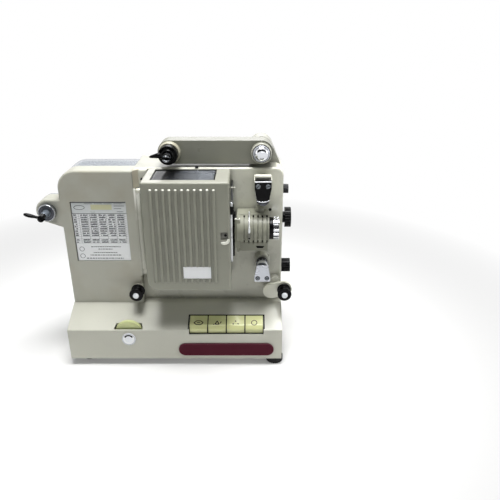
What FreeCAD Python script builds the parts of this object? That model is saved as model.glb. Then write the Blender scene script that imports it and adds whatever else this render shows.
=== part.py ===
"""A table-top 8 mm film projector, built piece by piece in millimetres.

X runs to the right along the front, Y runs away from the viewer and Z runs up. While it is built,
X = 0 is the middle of the base, Y = 0 is the front of the base and Z = 0 is its underside. At the
end everything is shifted so that the origin lies under the middle of the whole object.
"""
import FreeCAD, Part
import math
import os

import Sketcher

Vec = FreeCAD.Vector

# Driving dimensions
SIZES = {
    # base casting
    "base_width": 250.0, "base_depth": 102.0, "front_height": 39.0, "deck_height": 56.0,
    "slope_end": 36.0, "base_wall": 2.5, "base_edge_round": 1.6,
    "base_plate_thickness": 1.5, "base_plate_gap": 0.3,
    "under_slots": 6.0, "under_slot_pitch": 8.0, "under_slot_width": 3.0,
    "foot_height": 8.7, "foot_radius": 8.0, "foot_inset_x": 17.0, "foot_inset_y": 14.0,
    "front_foot_y": 18.0,
    # tilting foot
    "tilt_radius": 10.0, "tilt_overhang": 2.0, "tilt_setback": 12.0, "tilt_thickness": 6.4,
    "tilt_stud_radius": 2.5, "tilt_stud_length": 15.0, "tilt_boss_radius": 5.5, "tilt_boss_height": 8.0,
    # left front panel with its take-up ear, and the cover behind it
    "panel_front": 36.0, "panel_split": 57.0, "panel_back": 90.0, "panel_right": -41.3,
    "panel_top": 219.5, "panel_corner": 21.0, "panel_wall": 3.2, "cover_inset": 0.4,
    "cover_wall": 2.4, "ear_x": -139.0, "ear_z": 172.7, "ear_radius": 13.8, "ear_slope": 20.0,
    "panel_edge_round": 2.4, "slot_pitch": 9.0, "slot_height": 3.5, "slot_margin": 14.0,
    "cover_slots": 7.0, "cover_slot_rise": 70.0, "back_slots": 9.0, "ear_cover_back": 61.0,
    # data plate in its recess
    "chart_left": -113.4, "chart_right": -51.1, "chart_bottom": 111.2, "chart_top": 184.0,
    "chart_recess": 2.0, "chart_thickness": 0.8, "chart_gap": 0.3,
    # main casting
    "block_left": -41.0, "block_front": 47.0, "block_wall": 3.0, "block_top": 220.0,
    "block_corner": 9.0, "block_edge_round": 2.2, "cover_thickness": 3.0,
    "bridge_front": 41.5, "bridge_slope": 5.5, "bridge_gap": 0.9,
    # lamp house door
    "door_left": -25.3, "door_right": 66.0, "door_front": -6.0, "door_bottom": 95.0,
    "door_top": 219.0, "door_wall": 2.5, "door_gap": 0.3, "door_chamfer": 7.0,
    "door_edge_round": 1.8, "rib_count": 11.0, "rib_pitch": 6.5, "rib_first": -15.0,
    "rib_radius": 1.75, "rib_bottom": 105.7, "rib_top": 212.0,
    "hinge_x": -36.5, "hinge_y": 40.0, "hinge_radius": 4.2, "hinge_bottom": 100.8,
    "hinge_top": 193.7, "hinge_pin_radius": 1.6, "pin_fit": 0.08, "lug_length": 5.5,
    "vent_left": -16.5, "vent_right": 51.2, "vent_front": 4.0, "vent_back": 44.2,
    "vent_thickness": 1.6, "vent_gap": 0.6, "badge_x": 30.0, "badge_width": 30.0,
    "badge_bottom": 110.4, "badge_height": 13.7, "badge_thickness": 1.0,
    "latch_z": 160.3, "latch_width": 8.0, "latch_height": 8.6, "latch_depth": 1.4,
    "light_port_radius": 9.0,
    # optical axis, lamp and gate
    "film_y": 25.0, "lens_z": 157.0, "window_left": -19.0, "window_right": 62.5,
    "window_bottom": 100.0, "window_top": 212.0,
    "lamp_x": 15.0, "socket_radius": 9.0, "socket_top": 118.0, "lamp_base_radius": 8.0,
    "lamp_base_top": 128.0, "bulb_radius": 11.0, "bulb_top": 188.0, "frame_thickness": 2.0,
    "reflector_x": -9.0, "reflector_radius": 14.0, "reflector_depth": 5.0,
    "condenser_x": 38.0, "condenser_radius": 11.0, "condenser_thickness": 6.0,
    "gate_x": 66.8, "gate_thickness": 1.2, "gate_front": 15.0, "gate_bottom": 122.0,
    "gate_top": 191.0, "aperture_width": 4.9, "aperture_height": 3.7,
    "film_gap": 0.4, "pressure_front": 16.0, "pressure_back": 26.0, "pressure_thickness": 1.6,
    "pressure_bottom": 129.0, "pressure_top": 185.0,
    # lens mount, lens and lever
    "mount_left": 73.0, "mount_right": 108.5, "barrel_radius": 15.5, "bore_radius": 11.85,
    "mount_plate": 2.5, "mount_bottom": 133.0, "mount_back": 46.4, "mount_back_right": 41.5,
    "pivot_x": 98.5, "pivot_y": 36.0, "pivot_pin_radius": 2.0, "mount_lug_radius": 4.6,
    "mount_lug_height": 3.6, "groove_count": 6.0, "groove_pitch": 5.0, "groove_width": 1.4,
    "groove_depth": 1.3, "groove_first": 80.5,
    "tube_fit": 0.1, "tube_wall": 2.2, "tube_back": 77.0, "tube_collar_right": 113.0,
    "tube_collar_radius": 12.4, "ring_right": 119.3, "ring_radius": 12.8, "flute_count": 16.0,
    "flute_radius": 1.1, "glass_thickness": 3.0,
    "lever_x": 86.6, "lever_radius": 0.9, "lever_gap": 0.4, "lever_sweep": 100.0,
    "lever_start": -28.0,
    # film sprockets and their keepers
    "sprocket_x": 101.5, "upper_sprocket_z": 191.6, "lower_sprocket_z": 111.3,
    "sprocket_radius": 6.1, "tooth_tip_radius": 7.3, "tooth_count": 12.0, "tooth_width": 1.2,
    "sprocket_front": 18.0, "sprocket_back": 33.6, "boss_radius": 8.6, "boss_front": 34.3,
    "sprocket_shaft_radius": 2.5, "keeper_offset": 12.6, "keeper_wide": 18.0,
    "keeper_narrow": 12.4, "keeper_plate": 1.5, "keeper_front": 15.8, "keeper_corner": 1.5,
    "upper_keeper_end": 21.1, "upper_keeper_tip": 1.1, "lower_keeper_end": 16.7,
    "lower_keeper_tip": 3.9, "keeper_swing_gap": 0.3,
    "keeper_pin_radius": 1.6, "keeper_block": 16.4,
    # shafts, worms and gears
    "shaft_y": 58.0, "shaft_z": 158.0, "shaft_radius": 3.0, "worm_radius": 2.7,
    "wheel_radius": 9.0, "mesh_gap": 0.3, "wheel_teeth": 24.0, "layshaft_radius": 1.8,
    "bush_wall": 2.2, "bush_length": 6.0, "fit": 0.05, "shutter_x": 57.5, "shutter_gap": 4.0,
    "shutter_thickness": 1.0, "shutter_hub": 8.0, "fan_radius": 18.0, "air_radius": 14.0, "fan_left": -60.0,
    "fan_right": -47.0, "fan_blades": 9.0, "motor_left": -117.0, "motor_right": -64.0,
    "motor_radius": 18.0, "cam_radius": 3.4, "cam_offset": 1.9, "claw_x": 69.0,
    "claw_thickness": 1.4, "claw_tip": 26.5, "claw_stroke": 3.8,
    # transformer and mains inlet
    "transformer_x": -26.0, "transformer_setback": 34.0, "transformer_width": 54.0,
    "transformer_depth": 34.0, "transformer_height": 44.0, "core_limb": 9.0,
    "inlet_x": -88.0, "inlet_z": 28.0, "inlet_width": 30.0, "inlet_height": 22.0,
    "socket_width": 25.2, "socket_height": 16.8,
    "inlet_depth": 18.0, "inlet_flange": 1.6, "inlet_pin_radius": 2.0, "inlet_pin_pitch": 12.0,
    # keys
    "key_count": 4.0, "key_margin": 21.7, "key_pitch": 21.75, "key_gap": 1.3, "key_back": 17.9,
    "key_lip": 33.4, "key_front": 2.95, "key_skirt": 28.0, "key_proud": 0.8, "key_round": 3.0,
    "key_side_gap": 0.5,
    "key_pivot_y": 30.0, "key_pivot_drop": 5.45, "key_shaft_radius": 1.5, "key_hub_radius": 3.2,
    # speed wheel
    "speed_x": -54.3, "speed_z": 32.4, "speed_radius": 16.5, "speed_front": 3.2,
    "speed_back": 7.5, "speed_gap": 1.8, "speed_axle": 2.0, "speed_bracket_y": 13.0,
    "speed_bracket_width": 16.0, "speed_flutes": 48.0,
    "mark_z": 27.4, "mark_radius": 8.0, "mark_thickness": 0.8,
    # plate on the front of the base
    "plate_length": 112.0, "plate_margin": 9.5, "plate_bottom": 5.0, "plate_top": 21.4,
    "plate_thickness": 1.2,
    # film rollers
    "roller_radius": 8.15, "roller_core": 5.2, "roller_front": 18.0, "roller_back": 32.0,
    "flange": 2.6, "roller_pin_radius": 1.8, "roller_cap_radius": 3.4, "roller_cap": 1.2,
    "left_roller_x": -45.2, "left_roller_z": 75.3, "right_roller_x": 127.8,
    "right_roller_z": 75.9, "roller_arm_x": 112.5, "roller_arm_z": 73.2, "roller_arm_radius": 9.4,
    "roller_arm_front": 32.4, "roller_arm_back": 36.4, "stop_boss_x": 116.8, "stop_boss_z": 82.8,
    "stop_boss_radius": 5.5, "stop_boss_front": 41.0,
    # supply arm and its spindle
    "arm_pivot_x": 100.0, "arm_pivot_z": 236.6, "arm_length": 100.8, "arm_front": 50.0,
    "arm_back": 70.0, "arm_height": 26.0, "arm_boss_radius": 13.0, "arm_boss_front": 44.0,
    "arm_hollow_wall": 2.5, "arm_stud_radius": 4.0, "nut_radius": 8.6, "nut_height": 5.0,
    "ear_back": 90.0, "arm_ear_front": 70.5,
    "disc_radius": 10.4, "disc_front": 35.0, "spindle_radius": 4.0, "supply_tip": 22.0,
    # take-up spindle
    "collar_radius": 9.7, "collar_front": 31.0, "takeup_tip": 12.0, "journal_radius": 4.6,
    "pulley_radius": 9.0, "latch_length": 17.0, "latch_thickness": 2.8, "latch_blade": 3.6,
    "latch_slot": 3.4, "latch_root": 2.6, "latch_gap": 0.4, "spindle_tip_radius": 3.8,
    "spindle_neck": 0.6, "neck_radius": 3.6, "takeup_latch_tilt": 20.0, "supply_latch_tilt": 5.0,
    # knobs on the right side
    "knob_y": 58.0, "knob_gap": 0.4, "small_knob_z": 192.7, "small_knob_radius": 5.2,
    "small_knob_length": 5.8, "inching_radius": 11.7, "inching_neck_radius": 6.5,
    "inching_neck": 2.2, "inching_length": 7.2, "framing_z": 96.0, "framing_radius": 8.3,
    "framing_length": 10.3, "knob_shaft_radius": 2.5, "knurl_count": 24.0, "knurl_radius": 0.8,
    # screws
    "screw_radius": 1.5, "screw_head_radius": 3.0, "screw_head": 1.5, "screw_inset": 8.0,
}


class Size:
    """A number that also knows the sheet expression it comes from."""

    def __init__(self, value, text):
        self.value = float(value)
        self.text = text

    def _joined(self, other, sign, value, swapped=False):
        left, right = (text_of(other), self.text) if swapped else (self.text, text_of(other))
        return Size(value, "(%s %s %s)" % (left, sign, right))

    def __add__(self, other):
        return self._joined(other, "+", self.value + value_of(other))

    def __radd__(self, other):
        return self._joined(other, "+", value_of(other) + self.value, True)

    def __sub__(self, other):
        return self._joined(other, "-", self.value - value_of(other))

    def __rsub__(self, other):
        return self._joined(other, "-", value_of(other) - self.value, True)

    def __mul__(self, other):
        return self._joined(other, "*", self.value * value_of(other))

    def __rmul__(self, other):
        return self._joined(other, "*", value_of(other) * self.value, True)

    def __truediv__(self, other):
        return self._joined(other, "/", self.value / value_of(other))

    def __neg__(self):
        return Size(-self.value, "(0 - %s)" % self.text)


def value_of(size):
    return size.value if isinstance(size, Size) else float(size)


def text_of(size):
    return size.text if isinstance(size, Size) else repr(float(size))


def sine(angle):
    return Size(math.sin(math.radians(angle.value)), "sin(%s * 1deg)" % angle.text)


def cosine(angle):
    return Size(math.cos(math.radians(angle.value)), "cos(%s * 1deg)" % angle.text)


# Document and spreadsheet
doc = FreeCAD.newDocument("projector")
sheet = doc.addObject("Spreadsheet::Sheet", "dims")


class Dimensions:
    """Every driving dimension as a Size, under its own name."""


dim = Dimensions()
for row, (size_name, size_value) in enumerate(SIZES.items(), 1):
    sheet.set("A%d" % row, size_name)
    sheet.set("B%d" % row, str(size_value))
    sheet.setAlias("B%d" % row, size_name)
    setattr(dim, size_name, Size(size_value, "dims." + size_name))
doc.recompute()

NODES = {}


# Helpers that make bound objects
def bind(obj, prop, size):
    """Set a property, and tie it to the sheet when the size comes from there."""
    if isinstance(size, Size):
        obj.setExpression(prop, size.text)
    elif "." not in prop:
        setattr(obj, prop, size)


def move(obj, x, y, z, rotation=FreeCAD.Rotation()):
    obj.Placement = FreeCAD.Placement(Vec(value_of(x), value_of(y), value_of(z)), rotation)
    for key, size in zip("xyz", (x, y, z)):
        bind(obj, "Placement.Base." + key, size)
    return obj


TURN_FROM_Z = {
    "X": FreeCAD.Rotation(Vec(0, 1, 0), 90),
    "Y": FreeCAD.Rotation(Vec(1, 0, 0), -90),
    "Z": FreeCAD.Rotation(),
}


def spread(axis, centre, along):
    """Three coordinates from the two across an axis and the one along it."""
    place = list(centre)
    place.insert("XYZ".index(axis), along)
    return place


def box(x, y, z):
    """A block; each argument is a (low, high) pair."""
    block = doc.addObject("Part::Box", "block")
    for prop, (low, high) in zip(("Length", "Width", "Height"), (x, y, z)):
        bind(block, prop, high - low)
    return move(block, x[0], y[0], z[0])


def rod(axis, centre, radius, span):
    """A round bar along an axis, through centre, from span[0] to span[1]."""
    bar = doc.addObject("Part::Cylinder", "bar")
    bind(bar, "Radius", radius)
    bind(bar, "Height", span[1] - span[0])
    return move(bar, *spread(axis, centre, span[0]), TURN_FROM_Z[axis])


def cone(axis, centre, first_radius, last_radius, span):
    taper = doc.addObject("Part::Cone", "taper")
    bind(taper, "Radius1", first_radius)
    bind(taper, "Radius2", last_radius)
    bind(taper, "Height", span[1] - span[0])
    return move(taper, *spread(axis, centre, span[0]), TURN_FROM_Z[axis])


def ball(x, y, z, radius):
    sphere = doc.addObject("Part::Sphere", "ball")
    bind(sphere, "Radius", radius)
    return move(sphere, x, y, z)


def fuse(*solids):
    if len(solids) == 1:
        return solids[0]
    joined = doc.addObject("Part::MultiFuse", "joined")
    joined.Shapes = list(solids)
    joined.Refine = True
    return joined


def cut(solid, *tools):
    result = doc.addObject("Part::Cut", "cut")
    result.Base = solid
    result.Tool = fuse(*tools)
    result.Refine = True
    return result


def common(first, second):
    overlap = doc.addObject("Part::Common", "overlap")
    overlap.Base = first
    overlap.Tool = second
    return overlap


def group(*solids):
    several = doc.addObject("Part::Compound", "several")
    several.Links = list(solids)
    return several


def ring(axis, centre, outer, inner, span):
    return cut(rod(axis, centre, outer, span), rod(axis, centre, inner, span))


PLANE_OF = {"X": "YZ_Plane", "Y": "XZ_Plane", "Z": "XY_Plane"}


def sketch_on(body, axis, offset):
    """A sketch across an axis. The XZ plane looks along -Y, so its offset is turned round."""
    sketch = body.newObject("Sketcher::SketchObject", "outline")
    plane = [item for item in body.Origin.OriginFeatures if item.Role == PLANE_OF[axis]][0]
    sketch.AttachmentSupport = [(plane, "")]
    sketch.MapMode = "FlatFace"
    away = -offset if axis == "Y" else offset
    sketch.AttachmentOffset = FreeCAD.Placement(Vec(0, 0, value_of(away)), FreeCAD.Rotation())
    bind(sketch, "AttachmentOffset.Base.z", away)
    return sketch


def fix_point(sketch, index, end, point):
    """Tie a sketch point's two coordinates to their sizes."""
    for kind, size in zip(("DistanceX", "DistanceY"), point):
        number = sketch.addConstraint(
            Sketcher.Constraint(kind, -1, 1, index, end, value_of(size)))
        if isinstance(size, Size):
            sketch.setExpression("Constraints[%d]" % number, size.text)


def draw_polygon(sketch, points):
    corners = [Vec(value_of(u), value_of(v), 0) for u, v in points]
    count = len(corners)
    for index in range(count):
        sketch.addGeometry(Part.LineSegment(corners[index], corners[(index + 1) % count]), False)
    for index in range(count):
        sketch.addConstraint(Sketcher.Constraint("Coincident", index, 2, (index + 1) % count, 1))
    for index, point in enumerate(points):
        fix_point(sketch, index, 1, point)


def draw_circle(sketch, centre, radius):
    circle = Part.Circle(Vec(value_of(centre[0]), value_of(centre[1]), 0), Vec(0, 0, 1),
                         value_of(radius))
    index = sketch.addGeometry(circle, False)
    fix_point(sketch, index, 3, centre)
    number = sketch.addConstraint(Sketcher.Constraint("Radius", index, value_of(radius)))
    if isinstance(radius, Size):
        sketch.setExpression("Constraints[%d]" % number, radius.text)


def pad_from(body, sketch, length):
    pad = body.newObject("PartDesign::Pad", "pad")
    pad.Profile = sketch
    bind(pad, "Length", length)
    return pad


def prism(axis, points, span):
    """A straight solid with a polygon outline, padded along an axis."""
    body = doc.addObject("PartDesign::Body", "prism")
    sketch = sketch_on(body, axis, span[1] if axis == "Y" else span[0])
    draw_polygon(sketch, points)
    pad_from(body, sketch, span[1] - span[0])
    return body


def fluted(axis, centre, radius, span, count, flute_radius):
    """A disc whose rim carries evenly spaced round flutes."""
    body = doc.addObject("PartDesign::Body", "fluted")
    disc = sketch_on(body, "Z", 0.0)
    draw_circle(disc, (0.0, 0.0), radius)
    pad_from(body, disc, span[1] - span[0])
    flute = sketch_on(body, "Z", 0.0)
    draw_circle(flute, (radius + 0.35 * flute_radius, 0.0), flute_radius)
    doc.recompute()
    pocket = body.newObject("PartDesign::Pocket", "flute")
    pocket.Profile = flute
    pocket.Type = "ThroughAll"
    pocket.Midplane = True
    pattern = body.newObject("PartDesign::PolarPattern", "flutes")
    pattern.Originals = [pocket]
    pattern.Axis = (disc, ["N_Axis"])
    pattern.Angle = 360
    pattern.Occurrences = int(value_of(count))
    body.Tip = pattern
    return move(body, *spread(axis, centre, span[0]), TURN_FROM_Z[axis])


def rounded(solid, radius, chosen):
    """Round the edges that the test picks, where there are any."""
    doc.recompute()
    numbers = [index + 1 for index, edge in enumerate(solid.Shape.Edges) if chosen(edge)]
    result = doc.addObject("Part::Fillet", "rounded")
    result.Base = solid
    result.Edges = [(number, value_of(radius), value_of(radius)) for number in numbers]
    return result


def runs_along(edge, axis):
    """True for a straight edge parallel to an axis."""
    direction = {"X": Vec(1, 0, 0), "Y": Vec(0, 1, 0), "Z": Vec(0, 0, 1)}[axis]
    if edge.Curve.TypeId != "Part::GeomLine":
        return False
    return abs(edge.Curve.Direction.dot(direction)) > 0.9999


def near(edge, **place):
    """True when the edge's middle has the named coordinates."""
    middle = edge.CenterOfMass
    return all(abs(getattr(middle, key) - value_of(size)) < 0.05 for key, size in place.items())


def node(name, solid):
    """Name a finished sub-part. A primitive is wrapped, so that its own Placement stays free."""
    if solid.TypeId in ("Part::Box", "Part::Cylinder", "Part::Cone", "Part::Sphere", "Part::Torus"):
        solid = group(solid)
    solid.Label = name
    NODES[name] = solid
    return solid


# Places that several sub-parts share
half_width = dim.base_width / 2
key_right = half_width - dim.key_margin
key_left = key_right - dim.key_count * dim.key_pitch
block_back = dim.base_depth - dim.cover_thickness
wall_inside = dim.block_front + dim.block_wall
roller_span = (dim.roller_front, dim.roller_back)
optical = (dim.film_y, dim.lens_z)
main_axis = (dim.shaft_y, dim.shaft_z)
layshaft_x = dim.sprocket_x - dim.wheel_radius - dim.worm_radius - dim.mesh_gap
layshaft_y = dim.shaft_y + dim.wheel_radius + dim.worm_radius + dim.mesh_gap
supply_x = dim.arm_pivot_x - dim.arm_length
supply_axis = (supply_x, dim.arm_pivot_z)
takeup_axis = (dim.ear_x, dim.ear_z)
tilt_x = half_width + dim.tilt_overhang - dim.tilt_radius
slope = (dim.deck_height - dim.front_height) / dim.slope_end
inside_bottom = dim.deck_height + dim.block_wall
shutter_radius = block_back - dim.shaft_y - dim.shutter_gap


def slope_height(y):
    """Height of the sloping top of the base at a distance from its front."""
    return dim.front_height + slope * y


key_pivot_z = slope_height(dim.key_back) - dim.key_pivot_drop


def screw_places():
    """Middles of the case screws: (x, z) on the back, (x, y) under the base."""
    left = dim.block_left + dim.screw_inset
    right = half_width - dim.screw_inset
    low = dim.deck_height + dim.screw_inset
    high = dim.block_top - dim.screw_inset
    back = [(left, low), (right, low), (left, high), (right, high)]
    edge = dim.screw_inset * 1.6
    under = [(-half_width + edge, dim.base_depth / 2), (half_width - edge, dim.base_depth / 2)]
    return back, under


# Base
def base_profile(inset):
    """Side view of the base, drawn in by a wall; an inner one runs out through the underside."""
    low = -inset
    lift = inset * 1.1
    return [
        (inset, low), (inset, dim.front_height - lift), (dim.slope_end, dim.deck_height - lift),
        (dim.base_depth - inset, dim.deck_height - lift), (dim.base_depth - inset, low)]


def make_base_shell():
    outer = prism("X", base_profile(0.0), (-half_width, half_width))
    outer = rounded(outer, dim.base_edge_round, lambda edge: runs_along(edge, "X")
                    and (near(edge, y=0.0, z=dim.front_height)
                         or near(edge, y=dim.base_depth, z=dim.deck_height)))
    inner = prism("X", base_profile(dim.base_wall), (dim.base_wall - half_width,
                                                     half_width - dim.base_wall))
    keys = box((key_left, key_right), (-dim.base_wall, dim.key_back + dim.key_side_gap),
               (dim.key_lip, dim.deck_height))
    wheel_reach = dim.speed_radius + dim.speed_gap
    wheel = common(
        rod("Y", (dim.speed_x, dim.speed_z), wheel_reach,
            (dim.speed_front - dim.speed_gap, dim.speed_back + dim.speed_gap)),
        box((dim.speed_x - wheel_reach, dim.speed_x + wheel_reach),
            (dim.base_wall * 0.4, dim.speed_back + dim.speed_gap),
            (dim.front_height - dim.base_wall * 2, dim.deck_height)))
    inlet = box((dim.inlet_x - dim.socket_width / 2, dim.inlet_x + dim.socket_width / 2),
                (dim.base_depth - dim.base_wall * 2, dim.base_depth + dim.base_wall),
                (dim.inlet_z - dim.socket_height / 2, dim.inlet_z + dim.socket_height / 2))
    vent = rod("Z", ((dim.motor_left + dim.motor_right) / 2, dim.shaft_y), dim.air_radius,
               (dim.deck_height - dim.base_wall * 2, dim.deck_height + dim.base_wall))
    node("base_shell", cut(outer, inner, keys, wheel, inlet, vent))


def make_base_plate():
    side = half_width - dim.base_wall - dim.base_plate_gap
    plate = box((-side, side),
                (dim.base_wall + dim.base_plate_gap, dim.base_depth - dim.base_wall - dim.base_plate_gap),
                (0.0, dim.base_plate_thickness))
    tab_y = (dim.speed_bracket_y, dim.speed_bracket_y + dim.base_plate_thickness)
    tab_half = dim.speed_bracket_width / 2
    tab = box((dim.speed_x - tab_half, dim.speed_x + tab_half), tab_y,
              (0.0, dim.speed_z + dim.speed_axle * 3))
    boss = rod("Z", (tilt_x, dim.tilt_setback), dim.tilt_boss_radius, (0.0, dim.tilt_boss_height))
    slots = []
    for step in range(int(value_of(dim.under_slots))):
        x = dim.under_slot_pitch * (float(step) - dim.under_slots / 2)
        slots.append(box((x, x + dim.under_slot_width), (dim.base_depth * 0.35, dim.base_depth * 0.65),
                         (-dim.base_wall, dim.base_wall)))
    holes = [rod("Z", place, dim.screw_radius + dim.fit, (-dim.base_wall, dim.base_wall))
             for place in screw_places()[1]]
    stud = rod("Z", (tilt_x, dim.tilt_setback), dim.tilt_stud_radius + dim.fit,
               (-dim.base_wall, dim.tilt_boss_height + dim.base_wall))
    axle = rod("Y", (dim.speed_x, dim.speed_z), dim.speed_axle + dim.fit,
               (dim.speed_bracket_y - dim.base_wall, tab_y[1] + dim.base_wall))
    node("base_plate", cut(fuse(plate, tab, boss), stud, axle, *slots, *holes))


def make_feet():
    right = half_width - dim.foot_inset_x
    back = dim.base_depth - dim.foot_inset_y
    feet = []
    for x, y in ((-right, dim.front_foot_y), (-right, back), (right, back)):
        feet.append(cone("Z", (x, y), dim.foot_radius * 0.9, dim.foot_radius,
                         (-dim.foot_height, 0.0)))
    node("rubber_feet", group(*feet))
    top = dim.tilt_thickness - dim.foot_height
    wheel = fluted("Z", (tilt_x, dim.tilt_setback), dim.tilt_radius, (-dim.foot_height, top),
                   dim.knurl_count, dim.knurl_radius)
    stud = rod("Z", (tilt_x, dim.tilt_setback), dim.tilt_stud_radius,
               (top - dim.tilt_thickness / 2, top + dim.tilt_stud_length))
    node("tilt_foot", fuse(wheel, stud))


# Left panel, rear cover and the plates
def panel_solid(inset, y_span, ear_span):
    """The side outline with its take-up ear, drawn in by a wall thickness."""
    left = inset - half_width
    plate = prism("Y", [(left, dim.deck_height + inset), (left, dim.panel_top - inset),
                        (dim.panel_right - inset, dim.panel_top - inset),
                        (dim.panel_right - inset, dim.deck_height + inset)], y_span)
    plate = rounded(plate, dim.panel_corner - inset,
                    lambda edge: runs_along(edge, "Y") and near(edge, x=left, z=dim.panel_top - inset))
    radius = dim.ear_radius - inset
    ear = rod("Y", takeup_axis, radius, ear_span)
    low = (dim.ear_x - radius * sine(dim.ear_slope), dim.ear_z - radius * cosine(dim.ear_slope))
    run = dim.panel_wall * 2 - half_width - low[0]
    drop = run * sine(dim.ear_slope) / cosine(dim.ear_slope)
    bridge = prism("Y", [low, (dim.ear_x, dim.ear_z + radius),
                         (dim.panel_wall * 2 - half_width, dim.ear_z + radius),
                         (dim.panel_wall * 2 - half_width, low[1] - drop)], ear_span)
    return fuse(plate, ear, bridge)


def make_left_panel():
    span = (dim.panel_front, dim.panel_split)
    outer = panel_solid(0.0, span, span)
    face = value_of(dim.panel_front)
    outer = rounded(outer, dim.panel_edge_round,
                    lambda edge: abs(edge.CenterOfMass.y - face) < 0.01
                    and edge.CenterOfMass.z > value_of(dim.deck_height) + 1.0
                    and edge.CenterOfMass.x < value_of(dim.panel_right) - 1.0)
    hollow_span = (dim.panel_front + dim.panel_wall, dim.panel_split + dim.panel_wall)
    inner = panel_solid(dim.panel_wall, hollow_span, hollow_span)
    chart = box((dim.chart_left, dim.chart_right),
                (dim.panel_front - dim.panel_wall, dim.panel_front + dim.chart_recess),
                (dim.chart_bottom, dim.chart_top))
    collar = rod("Y", takeup_axis, dim.journal_radius + dim.fit,
                 (dim.panel_front - dim.panel_wall, dim.panel_front + dim.panel_wall * 2))
    air = rod("X", main_axis, dim.air_radius,
              (dim.panel_right - dim.panel_wall * 2, dim.panel_right + dim.panel_wall))
    pin = rod("Y", (dim.left_roller_x, dim.left_roller_z), dim.roller_pin_radius,
              (dim.panel_front - dim.panel_wall, dim.panel_front + dim.panel_wall * 2))
    boss = ring("Y", (dim.left_roller_x, dim.left_roller_z), dim.roller_core + dim.flange / 2,
                dim.roller_pin_radius, (dim.roller_back + dim.door_gap, dim.panel_front))
    node("left_panel", fuse(cut(outer, inner, chart, collar, air, pin), boss))
    gap = dim.chart_gap
    plate = box((dim.chart_left + gap, dim.chart_right - gap),
                (dim.panel_front + dim.chart_recess - dim.chart_thickness,
                 dim.panel_front + dim.chart_recess),
                (dim.chart_bottom + gap, dim.chart_top - gap))
    node("chart_plate", plate)


def make_left_rear_cover():
    outer = panel_solid(dim.cover_inset, (dim.panel_split, dim.panel_back),
                        (dim.panel_split, dim.ear_cover_back))
    open_side = dim.panel_split - dim.cover_wall
    inner = panel_solid(dim.cover_inset + dim.cover_wall, (open_side, dim.panel_back - dim.cover_wall),
                        (open_side, dim.ear_cover_back - dim.cover_wall))
    back = value_of(dim.panel_back)
    outer = rounded(outer, dim.panel_edge_round,
                    lambda edge: abs(edge.CenterOfMass.y - back) < 0.01
                    and edge.CenterOfMass.x < value_of(dim.panel_right) - 1.0
                    and edge.CenterOfMass.z > value_of(dim.deck_height) + 1.0)
    air = rod("X", main_axis, dim.air_radius,
              (dim.panel_right - dim.panel_wall * 2, dim.panel_right + dim.panel_wall))
    slots = []
    for step in range(int(value_of(dim.cover_slots))):
        low = dim.deck_height + dim.cover_slot_rise + dim.slot_pitch * float(step)
        slots.append(box((dim.motor_left + dim.slot_margin, dim.motor_right),
                         (dim.panel_back - dim.cover_wall * 2, dim.panel_back + dim.cover_wall),
                         (low, low + dim.slot_height)))
    node("left_rear_cover", cut(outer, inner, air, *slots))


def make_front_plates():
    middle = (dim.plate_bottom + dim.plate_top) / 2
    radius = (dim.plate_top - dim.plate_bottom) / 2
    y_span = (-dim.plate_thickness, 0.0)
    right = half_width - dim.plate_margin - radius
    left = right - dim.plate_length + radius * 2
    node("nameplate", fuse(rod("Y", (left, middle), radius, y_span),
                           rod("Y", (right, middle), radius, y_span),
                           box((left, right), y_span, (dim.plate_bottom, dim.plate_top))))
    node("speed_mark_disc", rod("Y", (dim.speed_x, dim.mark_z), dim.mark_radius,
                                (-dim.mark_thickness, 0.0)))


# Main casting
def stadium(first, last, radius, y_span):
    """An upright bar with round ends, between two heights at one x."""
    x, low = first
    high = last[1]
    return fuse(rod("Y", (x, low), radius, y_span), rod("Y", (x, high), radius, y_span),
                box((x - radius, x + radius), y_span, (low, high)))


def keeper_pivots():
    """The sprocket and keeper pivot heights of both film sprockets."""
    upper = dim.upper_sprocket_z + dim.keeper_offset
    lower = dim.lower_sprocket_z - dim.keeper_offset
    return ((dim.upper_sprocket_z, upper), (dim.lower_sprocket_z, lower))


def arm_ear(y_span):
    """The fixed ear that carries the supply arm, tapering down to the corner of the casting."""
    centre = (dim.arm_pivot_x, dim.arm_pivot_z)
    radius = dim.arm_boss_radius
    web = prism("Y", [(dim.arm_pivot_x - radius, dim.block_top - dim.block_wall / 2),
                      (dim.arm_pivot_x - radius, dim.arm_pivot_z),
                      (dim.arm_pivot_x + radius * 0.94, dim.arm_pivot_z + radius * 0.34),
                      (half_width - dim.block_wall, dim.block_top - dim.block_wall / 2)], y_span)
    return fuse(rod("Y", centre, radius, y_span), web)


def casting_bridge():
    """The slanting web between the left panel and the lamp house, above the upper hinge lug."""
    right = dim.door_left - dim.bridge_gap
    low = dim.hinge_top + dim.door_gap * 2 + dim.lug_length
    web = prism("Z", [(dim.block_left, dim.block_front + dim.block_wall / 2),
                      (dim.block_left, dim.panel_front + dim.door_gap),
                      (dim.block_left + dim.bridge_slope, dim.bridge_front),
                      (right, dim.bridge_front),
                      (right, dim.block_front + dim.block_wall / 2)], (low, dim.panel_top))
    front = value_of(dim.bridge_front)
    return rounded(web, dim.block_edge_round, lambda edge: near(edge, z=dim.panel_top)
                   and abs(edge.CenterOfMass.y - front) < 0.01)


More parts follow.
